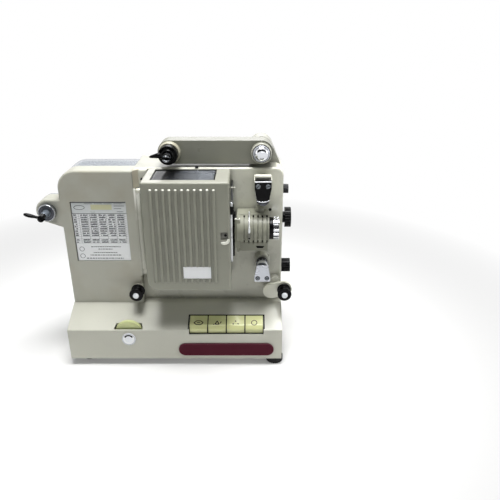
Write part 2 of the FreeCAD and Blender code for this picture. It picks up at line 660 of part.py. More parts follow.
def make_main_casting():
    x_span = (dim.block_left, half_width)
    shell = box(x_span, (dim.block_front, block_back), (dim.deck_height, dim.block_top))
    corner = dim.block_corner
    shell = rounded(shell, corner, lambda edge: runs_along(edge, "Y")
                    and near(edge, x=half_width, z=dim.block_top))
    front = value_of(dim.block_front)
    shell = rounded(shell, dim.block_edge_round, lambda edge: abs(edge.CenterOfMass.y - front) < 0.01
                    and edge.CenterOfMass.z > value_of(dim.deck_height) + 1.0
                    and edge.CenterOfMass.x > value_of(dim.block_left) + 1.0)
    hollow = box((dim.block_left + dim.block_wall, half_width - dim.block_wall),
                 (wall_inside, dim.base_depth), (inside_bottom, dim.block_top - dim.block_wall))
    hollow = rounded(hollow, corner - dim.block_wall, lambda edge: runs_along(edge, "Y")
                     and near(edge, x=half_width - dim.block_wall, z=dim.block_top - dim.block_wall))
    through = (dim.block_front - dim.block_wall, wall_inside + dim.block_wall)
    window = box((dim.window_left, dim.window_right), through, (dim.window_bottom, dim.window_top))
    claw = box((dim.claw_x - dim.mesh_gap * 2, dim.claw_x + dim.claw_thickness + dim.mesh_gap * 2),
               through, (dim.shaft_z - dim.claw_stroke * 3, dim.shaft_z + dim.claw_stroke * 3))
    air = rod("X", main_axis, dim.air_radius,
              (dim.block_left - dim.block_wall, dim.block_left + dim.block_wall * 2))
    right_wall = (half_width - dim.block_wall * 2, half_width + dim.block_wall)
    knobs = [rod("X", (dim.knob_y, z), radius + dim.fit, right_wall)
             for z, radius in ((dim.small_knob_z, dim.knob_shaft_radius),
                               (dim.framing_z, dim.knob_shaft_radius),
                               (dim.shaft_z, dim.shaft_radius + dim.bush_wall))]
    body = cut(shell, hollow, window, claw, air, *knobs)

    boss_span = (dim.boss_front, wall_inside)
    bosses = []
    holes = []
    bore_span = (dim.boss_front - dim.block_wall, wall_inside + dim.block_wall)
    for sprocket_z, pivot_z in keeper_pivots():
        low, high = sorted((sprocket_z, pivot_z), key=value_of)
        bosses.append(stadium((dim.sprocket_x, low), (dim.sprocket_x, high), dim.boss_radius,
                              boss_span))
        holes.append(rod("Y", (dim.sprocket_x, sprocket_z),
                         dim.sprocket_shaft_radius + dim.bush_wall, bore_span))
        holes.append(rod("Y", (dim.sprocket_x, pivot_z), dim.keeper_pin_radius, bore_span))
    bosses.append(rod("Y", (dim.stop_boss_x, dim.stop_boss_z), dim.stop_boss_radius,
                      (dim.stop_boss_front, wall_inside)))
    bosses.append(rod("Y", (dim.roller_arm_x, dim.roller_arm_z), dim.roller_core,
                      (dim.roller_arm_back + dim.door_gap, wall_inside)))
    holes.append(rod("Y", (dim.roller_arm_x, dim.roller_arm_z), dim.roller_pin_radius, bore_span))

    lug = dim.mount_lug_radius
    mount_top = dim.lens_z + dim.barrel_radius + dim.mount_plate / 5
    for low, high in ((mount_top + dim.door_gap, mount_top + dim.door_gap + dim.mount_lug_height),
                      (dim.mount_bottom - dim.door_gap - dim.mount_lug_height,
                       dim.mount_bottom - dim.door_gap)):
        bosses.append(fuse(rod("Z", (dim.pivot_x, dim.pivot_y), lug, (low, high)),
                           box((dim.pivot_x - lug, dim.pivot_x + lug), (dim.pivot_y, wall_inside),
                               (low, high))))
        holes.append(rod("Z", (dim.pivot_x, dim.pivot_y), dim.pivot_pin_radius, (low, high)))

    dome = dim.hinge_radius * 1.25
    for low, high in ((dim.hinge_top + dim.door_gap, dim.hinge_top + dim.door_gap + dim.lug_length),
                      (dim.hinge_bottom - dim.door_gap - dim.lug_length,
                       dim.hinge_bottom - dim.door_gap)):
        knuckle = rod("Z", (dim.hinge_x, dim.hinge_y), dim.hinge_radius, (low, high))
        web_top = high
        if value_of(low) > value_of(dim.hinge_top):
            knuckle = common(knuckle, ball(dim.hinge_x, dim.hinge_y, high - dome, dome))
            web_top = high - dim.hinge_radius / 2
        bosses.append(fuse(
            knuckle,
            box((dim.hinge_x - dim.hinge_radius, dim.hinge_x + dim.hinge_radius),
                (dim.hinge_y, dim.block_front), (low, web_top))))
        holes.append(rod("Z", (dim.hinge_x, dim.hinge_y), dim.hinge_pin_radius, (low, high)))

    ear = arm_ear((dim.arm_ear_front, dim.ear_back))
    holes.append(rod("Y", (dim.arm_pivot_x, dim.arm_pivot_z), dim.arm_stud_radius,
                     (dim.arm_ear_front - dim.block_wall, dim.ear_back + dim.block_wall)))
    node("main_casting", cut(fuse(body, ear, casting_bridge(), *bosses), *holes))


def make_back_cover():
    x_span = (dim.block_left, half_width)
    plate = box(x_span, (block_back, dim.base_depth), (dim.deck_height, dim.block_top))
    plate = rounded(plate, dim.block_corner, lambda edge: runs_along(edge, "Y")
                    and near(edge, x=half_width, z=dim.block_top))
    slots = []
    through = (block_back - dim.block_wall, dim.base_depth + dim.block_wall)
    for step in range(int(value_of(dim.back_slots))):
        low = dim.window_bottom + dim.slot_margin + dim.slot_pitch * float(step)
        slots.append(box((dim.window_left, dim.window_right - dim.slot_margin), through,
                         (low, low + dim.slot_height)))
    holes = [rod("Y", place, dim.screw_radius + dim.fit, through) for place in screw_places()[0]]
    node("back_cover", cut(plate, *slots, *holes))


def make_screws():
    back, under = screw_places()
    screws = []
    for place in back:
        screws.append(fuse(
            rod("Y", place, dim.screw_radius, (block_back, dim.base_depth)),
            rod("Y", place, dim.screw_head_radius, (dim.base_depth, dim.base_depth + dim.screw_head))))
    for place in under:
        screws.append(fuse(
            rod("Z", place, dim.screw_radius, (0.0, dim.base_plate_thickness)),
            rod("Z", place, dim.screw_head_radius, (-dim.screw_head, 0.0))))
    node("case_screws", group(*screws))


# Lamp house door
def make_door():
    back = dim.block_front - dim.door_gap
    wall = dim.door_wall
    outer = prism("Y", [(dim.door_left + dim.door_chamfer, dim.door_bottom),
                        (dim.door_left, dim.door_bottom + dim.door_chamfer),
                        (dim.door_left, dim.door_top), (dim.door_right, dim.door_top),
                        (dim.door_right, dim.door_bottom)], (dim.door_front, back))
    front = value_of(dim.door_front)
    outer = rounded(outer, dim.door_edge_round, lambda edge: abs(edge.CenterOfMass.y - front) < 0.01
                    or (runs_along(edge, "Y") and edge.CenterOfMass.z > value_of(dim.door_top) - 1.0))
    inner = prism("Y", [(dim.door_left + dim.door_chamfer + wall, dim.door_bottom + wall),
                        (dim.door_left + wall, dim.door_bottom + dim.door_chamfer + wall),
                        (dim.door_left + wall, dim.door_top - wall),
                        (dim.door_right - wall, dim.door_top - wall),
                        (dim.door_right - wall, dim.door_bottom + wall)],
                  (dim.door_front + wall, back + wall))
    vent = box((dim.vent_left, dim.vent_right), (dim.vent_front, dim.vent_back),
               (dim.door_top - wall * 2, dim.door_top + wall))
    port = rod("X", optical, dim.light_port_radius, (dim.door_right - wall * 2,
                                                     dim.door_right + wall))
    latch_right = dim.door_right - dim.door_edge_round
    latch = box((latch_right - dim.latch_width, latch_right),
                (dim.door_front - wall, dim.door_front + dim.latch_depth),
                (dim.latch_z - dim.latch_height / 2, dim.latch_z + dim.latch_height / 2))
    latch_hole = rod("Y", (latch_right - dim.latch_width / 2, dim.latch_z), dim.screw_radius * 0.6,
                     (dim.door_front - wall, dim.door_front + wall * 2))
    shell = cut(outer, inner, vent, port, latch, latch_hole)

    pieces = [shell]
    for step in range(int(value_of(dim.rib_count))):
        x = dim.rib_first + dim.rib_pitch * float(step)
        rib = rod("Z", (x, dim.door_front), dim.rib_radius,
                  (dim.rib_bottom, dim.rib_top - dim.rib_radius))
        pieces.append(fuse(rib, ball(x, dim.door_front, dim.rib_top - dim.rib_radius,
                                     dim.rib_radius)))
    badge = box((dim.badge_x - dim.badge_width / 2 - dim.vent_gap,
                 dim.badge_x + dim.badge_width / 2 + dim.vent_gap),
                (dim.door_front - dim.rib_radius * 2, dim.door_front),
                (dim.badge_bottom - dim.vent_gap, dim.badge_bottom + dim.badge_height + dim.vent_gap))
    outside = cut(fuse(*pieces), badge)
    barrel = rod("Z", (dim.hinge_x, dim.hinge_y), dim.hinge_radius, (dim.hinge_bottom, dim.hinge_top))
    web = box((dim.hinge_x, dim.door_left + wall), (dim.hinge_y - dim.hinge_radius / 2,
                                                    dim.hinge_y + dim.hinge_radius / 2),
              (dim.door_bottom + dim.door_chamfer * 2, dim.hinge_top))
    pin = rod("Z", (dim.hinge_x, dim.hinge_y), dim.hinge_pin_radius + dim.pin_fit,
              (dim.hinge_bottom, dim.hinge_top))
    node("lamp_house_door", cut(fuse(outside, barrel, web), pin))

    gap = dim.vent_gap
    top = dim.door_top - wall * 0.4
    frame = box((dim.vent_left + gap, dim.vent_right - gap), (dim.vent_front + gap, dim.vent_back - gap),
                (top - dim.vent_thickness, top))
    lip = box((dim.vent_left - gap * 2, dim.vent_right + gap * 2),
              (dim.vent_front - gap * 2, dim.vent_back + gap * 2),
              (dim.door_top - wall - dim.vent_thickness, dim.door_top - wall))
    node("vent_plate", fuse(frame, lip))
    node("badge_plate", box((dim.badge_x - dim.badge_width / 2, dim.badge_x + dim.badge_width / 2),
                            (dim.door_front - dim.badge_thickness, dim.door_front),
                            (dim.badge_bottom, dim.badge_bottom + dim.badge_height)))


def make_pins():
    """Pins pressed into the casting: door, lens mount, keepers and roller arm."""
    door_low = dim.hinge_bottom - dim.door_gap - dim.lug_length
    door_high = dim.hinge_top + dim.door_gap + dim.lug_length
    pins = [rod("Z", (dim.hinge_x, dim.hinge_y), dim.hinge_pin_radius, (door_low, door_high))]
    mount_top = dim.lens_z + dim.barrel_radius + dim.mount_plate / 5
    upper = (mount_top - dim.mount_plate, mount_top + dim.door_gap + dim.mount_lug_height)
    lower = (dim.mount_bottom - dim.door_gap - dim.mount_lug_height - dim.screw_head,
             dim.mount_bottom + dim.mount_lug_height)
    for span in (upper, lower):
        pins.append(rod("Z", (dim.pivot_x, dim.pivot_y), dim.pivot_pin_radius, span))
    for _, pivot_z in keeper_pivots():
        pins.append(rod("Y", (dim.sprocket_x, pivot_z), dim.keeper_pin_radius,
                        (dim.keeper_front + dim.keeper_plate * 2 + dim.door_gap, wall_inside)))
    pins.append(rod("Y", (dim.roller_arm_x, dim.roller_arm_z), dim.roller_pin_radius,
                    (dim.roller_arm_front + dim.door_gap * 2, wall_inside)))
    node("hinge_pins", group(*pins))


# Lamp, reflector, condenser and gate
def make_lamp():
    sheet_metal = dim.frame_thickness
    shelf_top = dim.window_bottom + sheet_metal
    shelf = box((dim.reflector_x - sheet_metal * 2, dim.condenser_x + dim.condenser_thickness),
                (dim.film_y - dim.condenser_radius, wall_inside),
                (dim.window_bottom, shelf_top))
    socket = rod("Z", (dim.lamp_x, dim.film_y), dim.socket_radius, (dim.window_bottom, dim.socket_top))
    holder = box((dim.condenser_x, dim.condenser_x + sheet_metal),
                 (dim.film_y - dim.condenser_radius - sheet_metal,
                  dim.film_y + dim.condenser_radius + sheet_metal),
                 (dim.window_bottom, dim.lens_z + dim.condenser_radius + sheet_metal))
    opening = rod("X", optical, dim.condenser_radius + dim.fit,
                  (dim.condenser_x - sheet_metal, dim.condenser_x + sheet_metal * 2))
    strip = box((dim.reflector_x - sheet_metal, dim.reflector_x),
                (dim.film_y - sheet_metal * 2, dim.film_y + sheet_metal * 2),
                (dim.window_bottom, dim.lens_z + dim.reflector_radius / 2))
    node("lamp_frame", cut(fuse(shelf, socket, holder, strip), opening))
    base = rod("Z", (dim.lamp_x, dim.film_y), dim.lamp_base_radius, (dim.socket_top, dim.lamp_base_top))
    dome = dim.bulb_top - dim.bulb_radius
    glass = rod("Z", (dim.lamp_x, dim.film_y), dim.bulb_radius, (dim.lamp_base_top, dome))
    node("lamp_bulb", fuse(base, glass, ball(dim.lamp_x, dim.film_y, dome, dim.bulb_radius)))
    radius = dim.reflector_radius
    disc = rod("X", optical, radius, (dim.reflector_x, dim.reflector_x + dim.reflector_depth))
    bowl = cone("X", optical, radius * 0.4, radius * 0.94,
                (dim.reflector_x + dim.frame_thickness / 2, dim.reflector_x + dim.reflector_depth))
    node("lamp_reflector", cut(disc, bowl))
    lens = rod("X", optical, dim.condenser_radius,
               (dim.condenser_x, dim.condenser_x + dim.frame_thickness))
    crown = cone("X", optical, dim.condenser_radius, dim.condenser_radius * 0.6,
                 (dim.condenser_x + dim.frame_thickness, dim.condenser_x + dim.condenser_thickness))
    node("condenser_lens", fuse(lens, crown))


def make_gate():
    plate = box((dim.gate_x, dim.gate_x + dim.gate_thickness), (dim.gate_front, dim.block_front),
                (dim.gate_bottom, dim.gate_top))
    flange = box((dim.gate_x, dim.gate_x + dim.gate_thickness * 1.5),
                 (dim.block_front - dim.gate_thickness, dim.block_front),
                 (dim.gate_bottom, dim.gate_top))
    through = (dim.gate_x - dim.gate_thickness, dim.gate_x + dim.gate_thickness * 2)
    aperture = box(through, (dim.film_y - dim.aperture_width / 2, dim.film_y + dim.aperture_width / 2),
                   (dim.lens_z - dim.aperture_height / 2, dim.lens_z + dim.aperture_height / 2))
    node("gate_plate", cut(fuse(plate, flange), aperture))
    left = dim.gate_x + dim.gate_thickness + dim.film_gap
    pad = box((left, left + dim.pressure_thickness), (dim.pressure_front, dim.pressure_back),
              (dim.pressure_bottom, dim.pressure_top))
    middle = (dim.pressure_front + dim.pressure_back) / 2
    rise = dim.bore_radius + dim.roller_pin_radius
    stud_span = (left + dim.pressure_thickness / 2, dim.mount_left)
    studs = [rod("X", (middle, z), dim.roller_pin_radius, stud_span)
             for z in (dim.lens_z - rise, dim.lens_z + rise)]
    beam = rod("X", optical, dim.aperture_width / 2,
               (left - dim.film_gap, left + dim.pressure_thickness * 2))
    node("pressure_plate", cut(fuse(pad, *studs), beam))


# Lens mount, lens and lever
def make_lens_mount():
    x_span = (dim.mount_left, dim.mount_right)
    top = dim.lens_z + dim.barrel_radius + dim.mount_plate / 5
    barrel = rod("X", optical, dim.barrel_radius, x_span)
    outline = [(dim.mount_left, dim.film_y), (dim.mount_left, dim.mount_back - dim.door_gap * 3),
               (dim.mount_left + dim.mount_plate, dim.mount_back),
               (dim.pivot_x - dim.mount_plate * 2, dim.mount_back),
               (dim.mount_right, dim.mount_back_right), (dim.mount_right, dim.film_y)]
    plate = prism("Z", outline, (top - dim.mount_plate, top))
    foot = box((dim.mount_left, dim.mount_right - dim.mount_plate / 2),
               (dim.film_y - dim.barrel_radius / 2, dim.pivot_y + dim.mount_lug_radius),
               (dim.mount_bottom, dim.lens_z - dim.bore_radius))
    flange = box((dim.mount_left, dim.mount_left + dim.mount_plate),
                 (dim.film_y - dim.barrel_radius * 0.7, dim.pivot_y),
                 (dim.mount_bottom, top))
    bore = rod("X", optical, dim.bore_radius, (dim.mount_left - dim.mount_plate,
                                               dim.mount_right + dim.mount_plate))
    grooves = []
    for step in range(int(value_of(dim.groove_count))):
        x = dim.groove_first + dim.groove_pitch * float(step)
        span = (x, x + dim.groove_width)
        grooves.append(common(
            ring("X", optical, dim.barrel_radius + dim.groove_depth,
                 dim.barrel_radius - dim.groove_depth, span),
            box((dim.mount_left, dim.mount_right),
                (dim.film_y - dim.barrel_radius * 2, dim.film_y - dim.barrel_radius * 0.2),
                (dim.lens_z - dim.barrel_radius * 2, dim.lens_z + dim.barrel_radius * 2))))
    pin = rod("Z", (dim.pivot_x, dim.pivot_y), dim.pivot_pin_radius + dim.fit,
              (dim.mount_bottom - dim.mount_plate,
               dim.mount_bottom + dim.mount_lug_height + dim.door_gap))
    upper_pin = rod("Z", (dim.pivot_x, dim.pivot_y), dim.pivot_pin_radius + dim.fit,
                    (top - dim.mount_plate - dim.door_gap, top + dim.mount_plate))
    node("lens_mount", cut(fuse(barrel, plate, foot, flange), bore, pin, upper_pin, *grooves))


def make_lens():
    tube_radius = dim.bore_radius - dim.tube_fit
    inner = tube_radius - dim.tube_wall
    body = rod("X", optical, tube_radius, (dim.tube_back, dim.ring_right - dim.door_gap * 2))
    collar = rod("X", optical, dim.tube_collar_radius,
                 (dim.mount_right + dim.door_gap, dim.tube_collar_right))
    bore = rod("X", optical, inner, (dim.tube_back - dim.tube_wall, dim.ring_right))
    node("lens_tube", cut(fuse(body, collar), bore))
    glasses = []
    for x in (dim.tube_back + dim.tube_wall,
              dim.ring_right - dim.door_gap * 2 - dim.tube_wall - dim.glass_thickness):
        glasses.append(rod("X", optical, inner, (x, x + dim.glass_thickness)))
    node("lens_glass", group(*glasses))
    outer = fluted("X", optical, dim.ring_radius,
                   (dim.tube_collar_right + dim.door_gap, dim.ring_right),
                   dim.flute_count, dim.flute_radius)
    hole = rod("X", optical, tube_radius + dim.tube_fit,
               (dim.tube_collar_right, dim.ring_right + dim.tube_wall))
    node("focus_ring", cut(outer, hole))


def lever_pivot():
    """Where the release lever turns, low on the front of the barrel, as (y, z)."""
    reach = dim.barrel_radius + dim.lever_gap + dim.lever_radius
    return (dim.film_y - reach * cosine(dim.lever_start), dim.lens_z + reach * sine(dim.lever_start))


def make_lever():
    reach = dim.barrel_radius + dim.lever_gap + dim.lever_radius
    bow = doc.addObject("Part::Torus", "bow")
    bind(bow, "Radius1", reach)
    bind(bow, "Radius2", dim.lever_radius)
    bind(bow, "Angle3", dim.lever_sweep)
    turn = FreeCAD.Rotation(Vec(1, 0, 0), value_of(-dim.lever_start - dim.lever_sweep) + 180.0)
    turn = turn.multiply(FreeCAD.Rotation(Vec(0, 1, 0), 90))
    turn = turn.multiply(FreeCAD.Rotation(Vec(0, 0, 1), 90))
    move(bow, dim.lever_x, dim.film_y, dim.lens_z, turn)
    y, z = lever_pivot()
    foot = rod("X", (y, z), dim.lever_radius * 1.2,
               (dim.lever_x - dim.lever_radius * 1.5, dim.lever_x + dim.lever_radius * 1.5))
    node("mount_lever", fuse(bow, foot))


# Sprockets and keepers
def worm_wheel(axis, centre, middle):
    half = dim.worm_radius * 1.2
    return fluted(axis, centre, dim.wheel_radius, (middle - half, middle + half), dim.wheel_teeth,
                  dim.knurl_radius)


def make_sprocket(name, z):
    centre = (dim.sprocket_x, z)
    span = (dim.sprocket_front, dim.sprocket_back)
    drum = rod("Y", centre, dim.sprocket_radius, span)
    middle = (dim.sprocket_front + dim.sprocket_back) / 2
    half = dim.tooth_width / 2
    pieces = [drum]
    for step in range(int(value_of(dim.tooth_count))):
        tooth = box((-half, half), (middle - half, middle + half),
                    (dim.sprocket_radius * 0.8, dim.tooth_tip_radius))
        turn = FreeCAD.Rotation(Vec(0, 1, 0), 360.0 * step / value_of(dim.tooth_count))
        holder = group(tooth)
        pieces.append(move(holder, dim.sprocket_x, 0.0, z, turn))
    shaft = rod("Y", centre, dim.sprocket_shaft_radius,
                (dim.sprocket_front - dim.mesh_gap, block_back - dim.door_gap))
    node(name, fuse(*pieces, shaft, worm_wheel("Y", centre, layshaft_y)))


def make_keeper(name, sprocket_z, pivot_z, up, end, tip):
    """A film shoe: a tapering front plate and the block behind it, turning on a pin."""
    x = dim.sprocket_x
    wide = dim.keeper_wide / 2
    narrow = dim.keeper_narrow / 2
    wide_z = sprocket_z + end * up
    tip_z = sprocket_z - tip * up
    shoulder_z = wide_z - end * 0.35 * up
    plate_span = (dim.keeper_front, dim.keeper_front + dim.keeper_plate)
    plate = prism("Y", [(x - narrow, tip_z), (x - wide, shoulder_z), (x - wide, wide_z),
                        (x + wide, wide_z), (x + wide, shoulder_z), (x + narrow, tip_z)], plate_span)
    plate = rounded(plate, dim.keeper_corner, lambda edge: runs_along(edge, "Y")
                    and abs(edge.CenterOfMass.z - value_of(wide_z)) < 0.05)
    block_span = (dim.keeper_front + dim.keeper_plate, dim.boss_front - dim.door_gap)
    low, high = sorted((pivot_z, wide_z - dim.keeper_corner * up), key=value_of)
    half = dim.keeper_block / 2
    hub_radius = dim.keeper_offset - dim.tooth_tip_radius - dim.keeper_swing_gap
    block = fuse(box((x - half, x + half), block_span, (low, high)),
                 rod("Y", (x, pivot_z), hub_radius, block_span))
    pin = rod("Y", (x, pivot_z), dim.keeper_pin_radius + dim.fit,
              (dim.keeper_front + dim.keeper_plate * 2, dim.boss_front))
    node(name, cut(fuse(plate, block), pin))


# Shafts, bushes, motor and fan
def make_main_shaft():
    x_end = half_width + dim.knob_gap + dim.inching_neck
    shaft = rod("X", main_axis, dim.shaft_radius, (dim.motor_left + dim.fit, x_end))
    thin_span = (layshaft_x - dim.wheel_radius - dim.door_gap,
                 layshaft_x + dim.wheel_radius + dim.door_gap)
    neck = ring("X", main_axis, dim.shaft_radius + dim.mesh_gap, dim.worm_radius, thin_span)
    cam = rod("X", (dim.shaft_y, dim.shaft_z + dim.cam_offset), dim.cam_radius,
              (dim.claw_x, dim.claw_x + dim.claw_thickness))
    node("main_shaft", fuse(cut(shaft, neck), cam))
    hub_span = (dim.shutter_x - dim.shutter_hub / 2, dim.shutter_x)
    hub = rod("X", main_axis, dim.shutter_hub, hub_span)
    disc = rod("X", main_axis, shutter_radius,
               (dim.shutter_x, dim.shutter_x + dim.shutter_thickness))
    through = (dim.shutter_x - dim.shutter_hub, dim.shutter_x + dim.shutter_hub)
    bore = rod("X", main_axis, dim.shaft_radius, through)
    gaps = []
    for step in range(2):
        sector = prism("X", [(dim.shutter_hub * 1.3, dim.shutter_hub * 0.9),
                             (shutter_radius * 1.1, shutter_radius * 0.55),
                             (shutter_radius * 1.1, -shutter_radius * 0.55),
                             (dim.shutter_hub * 1.3, -dim.shutter_hub * 0.9)], through)
        turn = FreeCAD.Rotation(Vec(1, 0, 0), 90.0 + 180.0 * step)
        gaps.append(move(group(sector), 0.0, dim.shaft_y, dim.shaft_z, turn))
    node("shutter_disc", cut(fuse(hub, disc), bore, *gaps))
    gap = half_width + dim.knob_gap
    neck_span = (gap, gap + dim.inching_neck)
    neck = rod("X", main_axis, dim.inching_neck_radius, neck_span)
    head = fluted("X", main_axis, dim.inching_radius,
                  (neck_span[1], neck_span[1] + dim.inching_length), dim.knurl_count, dim.knurl_radius)
    seat = rod("X", main_axis, dim.shaft_radius, (gap - dim.knob_gap, x_end))
    node("inching_knob", cut(fuse(neck, head), seat))


def make_fan():
    hub = rod("X", main_axis, dim.shaft_radius * 2, (dim.fan_left, dim.fan_right))
    back = rod("X", main_axis, dim.fan_radius, (dim.fan_left, dim.fan_left + dim.door_gap * 4))
    pieces = [hub, back]
    for step in range(int(value_of(dim.fan_blades))):
        blade = box((dim.fan_left, dim.fan_right), (-dim.door_gap * 2, dim.door_gap * 2),
                    (dim.shaft_radius, dim.fan_radius - dim.door_gap))
        turn = FreeCAD.Rotation(Vec(1, 0, 0), 360.0 * step / value_of(dim.fan_blades))
        pieces.append(move(group(blade), 0.0, dim.shaft_y, dim.shaft_z, turn))
    bore = rod("X", main_axis, dim.shaft_radius,
               (dim.fan_left - dim.fan_radius, dim.fan_right + dim.fan_radius))
    node("cooling_fan", cut(fuse(*pieces), bore))


def make_motor():
    end = dim.motor_radius * 0.5
    core = rod("X", main_axis, dim.motor_radius, (dim.motor_left + end, dim.motor_right - end))
    bells = [cone("X", main_axis, dim.motor_radius * 0.7, dim.motor_radius * 0.94,
                  (dim.motor_left, dim.motor_left + end)),
             cone("X", main_axis, dim.motor_radius * 0.94, dim.motor_radius * 0.7,
                  (dim.motor_right - end, dim.motor_right))]
    leg = dim.motor_radius * 0.75
    bracket = box((dim.motor_left + end * 1.3, dim.motor_right - end * 1.3),
                  (dim.shaft_y - leg, dim.shaft_y + leg),
                  (inside_bottom + dim.panel_wall * 0.1, dim.shaft_z))
    arch = box((dim.motor_left, dim.motor_right),
               (dim.shaft_y - leg + dim.frame_thickness, dim.shaft_y + leg - dim.frame_thickness),
               (inside_bottom + dim.frame_thickness, dim.shaft_z - dim.motor_radius * 0.5))
    bore = rod("X", main_axis, dim.shaft_radius + dim.fit, (dim.motor_left - end, dim.motor_right + end))
    node("motor", cut(fuse(cut(bracket, arch), core, *bells), bore))


def make_layshaft():
    centre = (layshaft_x, layshaft_y)
    low = inside_bottom + dim.door_gap
    high = dim.block_top - dim.block_wall - dim.door_gap
    shaft = rod("Z", centre, dim.layshaft_radius, (low, high))
    half = dim.wheel_radius / 2
    worms = [rod("Z", centre, dim.worm_radius, (z - half, z + half))
             for z in (dim.upper_sprocket_z, dim.lower_sprocket_z)]
    node("layshaft", fuse(shaft, *worms, worm_wheel("Z", centre, dim.shaft_z)))


def make_bushes():
    """Plain bearings: sprocket shafts, layshaft, main shaft and take-up spindle."""
    bushes = []
    for z in (dim.upper_sprocket_z, dim.lower_sprocket_z):
        centre = (dim.sprocket_x, z)
        for span in ((dim.boss_front, wall_inside), (block_back - dim.bush_length, block_back)):
            bushes.append(ring("Y", centre, dim.sprocket_shaft_radius + dim.bush_wall,
                               dim.sprocket_shaft_radius + dim.fit, span))
    inside_top = dim.block_top - dim.block_wall
    for span in ((inside_bottom, inside_bottom + dim.bush_length),
                 (inside_top - dim.bush_length, inside_top)):
        bushes.append(ring("Z", (layshaft_x, layshaft_y), dim.layshaft_radius + dim.bush_wall,
                           dim.layshaft_radius + dim.fit, span))
    bushes.append(ring("X", main_axis, dim.shaft_radius + dim.bush_wall, dim.shaft_radius + dim.fit,
                       (half_width - dim.block_wall - dim.bush_wall, half_width)))
    cover_inside = dim.ear_cover_back - dim.cover_wall
    bushes.append(ring("Y", takeup_axis, dim.journal_radius + dim.bush_wall,
                       dim.journal_radius + dim.fit, (cover_inside - dim.bush_length, cover_inside)))
    node("shaft_bushes", group(*bushes))


def make_claw():
    x_span = (dim.claw_x, dim.claw_x + dim.claw_thickness)
    sweep = dim.cam_radius + dim.cam_offset + dim.mesh_gap
    frame = dim.frame_thickness
    arm = box(x_span, (dim.claw_tip, dim.shaft_y + sweep + frame),
              (dim.shaft_z - frame, dim.shaft_z + frame))
    cage = box(x_span, (dim.shaft_y - sweep - frame, dim.shaft_y + sweep + frame),
               (dim.shaft_z - sweep - frame, dim.shaft_z + sweep + dim.claw_stroke + frame))
    eye = box((dim.claw_x - frame, dim.claw_x + frame * 2), (dim.shaft_y - sweep, dim.shaft_y + sweep),
              (dim.shaft_z - sweep, dim.shaft_z + sweep + dim.claw_stroke))
    node("film_claw", cut(fuse(arm, cage), eye))


# Transformer and mains inlet
def make_transformer():
    """A core of stacked sheets with three limbs, and the coil round its middle one."""
    middle = dim.transformer_x
    half = dim.transformer_width / 2
    x_span = (middle - half, middle + half)
    centre_y = dim.base_depth - dim.transformer_setback
    y_span = (centre_y - dim.transformer_depth / 2, centre_y + dim.transformer_depth / 2)
    low = dim.base_plate_thickness
    limb = dim.core_limb
    core = box(x_span, y_span, (low, low + dim.transformer_height))
    window_y = (y_span[0] - limb, y_span[1] + limb)
    window_z = (low + limb, low + dim.transformer_height - limb)
    windows = [box(span, window_y, window_z)
               for span in ((x_span[0] + limb, middle - limb), (middle + limb, x_span[1] - limb))]
    coil = box((x_span[0] + limb, x_span[1] - limb), (y_span[0] - limb * 0.8, y_span[1] + limb * 0.8),
               window_z)
    centre_limb = box((middle - limb, middle + limb), y_span, window_z)
    node("transformer", group(cut(core, *windows), cut(coil, centre_limb)))


def make_inlet():
    x_span = (dim.inlet_x - dim.inlet_width / 2, dim.inlet_x + dim.inlet_width / 2)
    z_span = (dim.inlet_z - dim.inlet_height / 2, dim.inlet_z + dim.inlet_height / 2)
    back = dim.base_depth
    flange = box(x_span, (back, back + dim.inlet_flange), z_span)
    half_x = dim.socket_width / 2 - dim.door_gap
    half_z = dim.socket_height / 2 - dim.door_gap
    shell = box((dim.inlet_x - half_x, dim.inlet_x + half_x), (back - dim.inlet_depth, back),
                (dim.inlet_z - half_z, dim.inlet_z + half_z))
    wall = dim.base_wall * 0.7
    socket = box((dim.inlet_x - half_x + wall, dim.inlet_x + half_x - wall),
                 (back - dim.inlet_depth + wall, back + dim.inlet_flange * 2),
                 (dim.inlet_z - half_z + wall, dim.inlet_z + half_z - wall))
    pin_span = (back - dim.inlet_depth + wall / 2, back - dim.inlet_flange)
    pins = [rod("Y", (dim.inlet_x + side * dim.inlet_pin_pitch / 2, dim.inlet_z),
                dim.inlet_pin_radius, pin_span) for side in (-1.0, 1.0)]
    node("mains_inlet", fuse(cut(fuse(flange, shell), socket), *pins))


# Keys
def make_keys():
    front = dim.key_front
    top_front = slope_height(front + dim.key_round) + dim.key_proud
    top_back = slope_height(dim.key_back) + dim.key_proud
    arm = dim.key_shaft_radius
    outline = [(front, dim.key_skirt), (front, slope_height(front) - dim.key_round / 2),
               (front + dim.key_round, top_front), (dim.key_back, top_back),
               (dim.key_back, key_pivot_z + arm), (dim.key_pivot_y, key_pivot_z + arm),
               (dim.key_pivot_y, key_pivot_z - arm), (dim.key_back - arm, key_pivot_z - arm * 2),
               (front + dim.key_round, key_pivot_z - arm * 6), (front + dim.key_round, dim.key_skirt)]
    for step in range(int(value_of(dim.key_count))):
        left = key_left + dim.key_pitch * float(step) + dim.key_gap / 2
        span = (left, left + dim.key_pitch - dim.key_gap)
        body = prism("X", outline, span)
        crest = (value_of(front + dim.key_round), value_of(top_front))
        shoulder = (value_of(front), value_of(slope_height(front) - dim.key_round / 2))
        body = rounded(body, dim.key_round * 0.8, lambda edge: runs_along(edge, "X")
                       and (near(edge, y=crest[0], z=crest[1])
                            or near(edge, y=shoulder[0], z=shoulder[1])))
        hub = rod("X", (dim.key_pivot_y, key_pivot_z), dim.key_hub_radius, span)
        bore = rod("X", (dim.key_pivot_y, key_pivot_z), dim.key_shaft_radius + dim.fit,
                   (left - dim.key_gap, left + dim.key_pitch))
        node("key_%d" % (step + 1), cut(fuse(body, hub), bore))


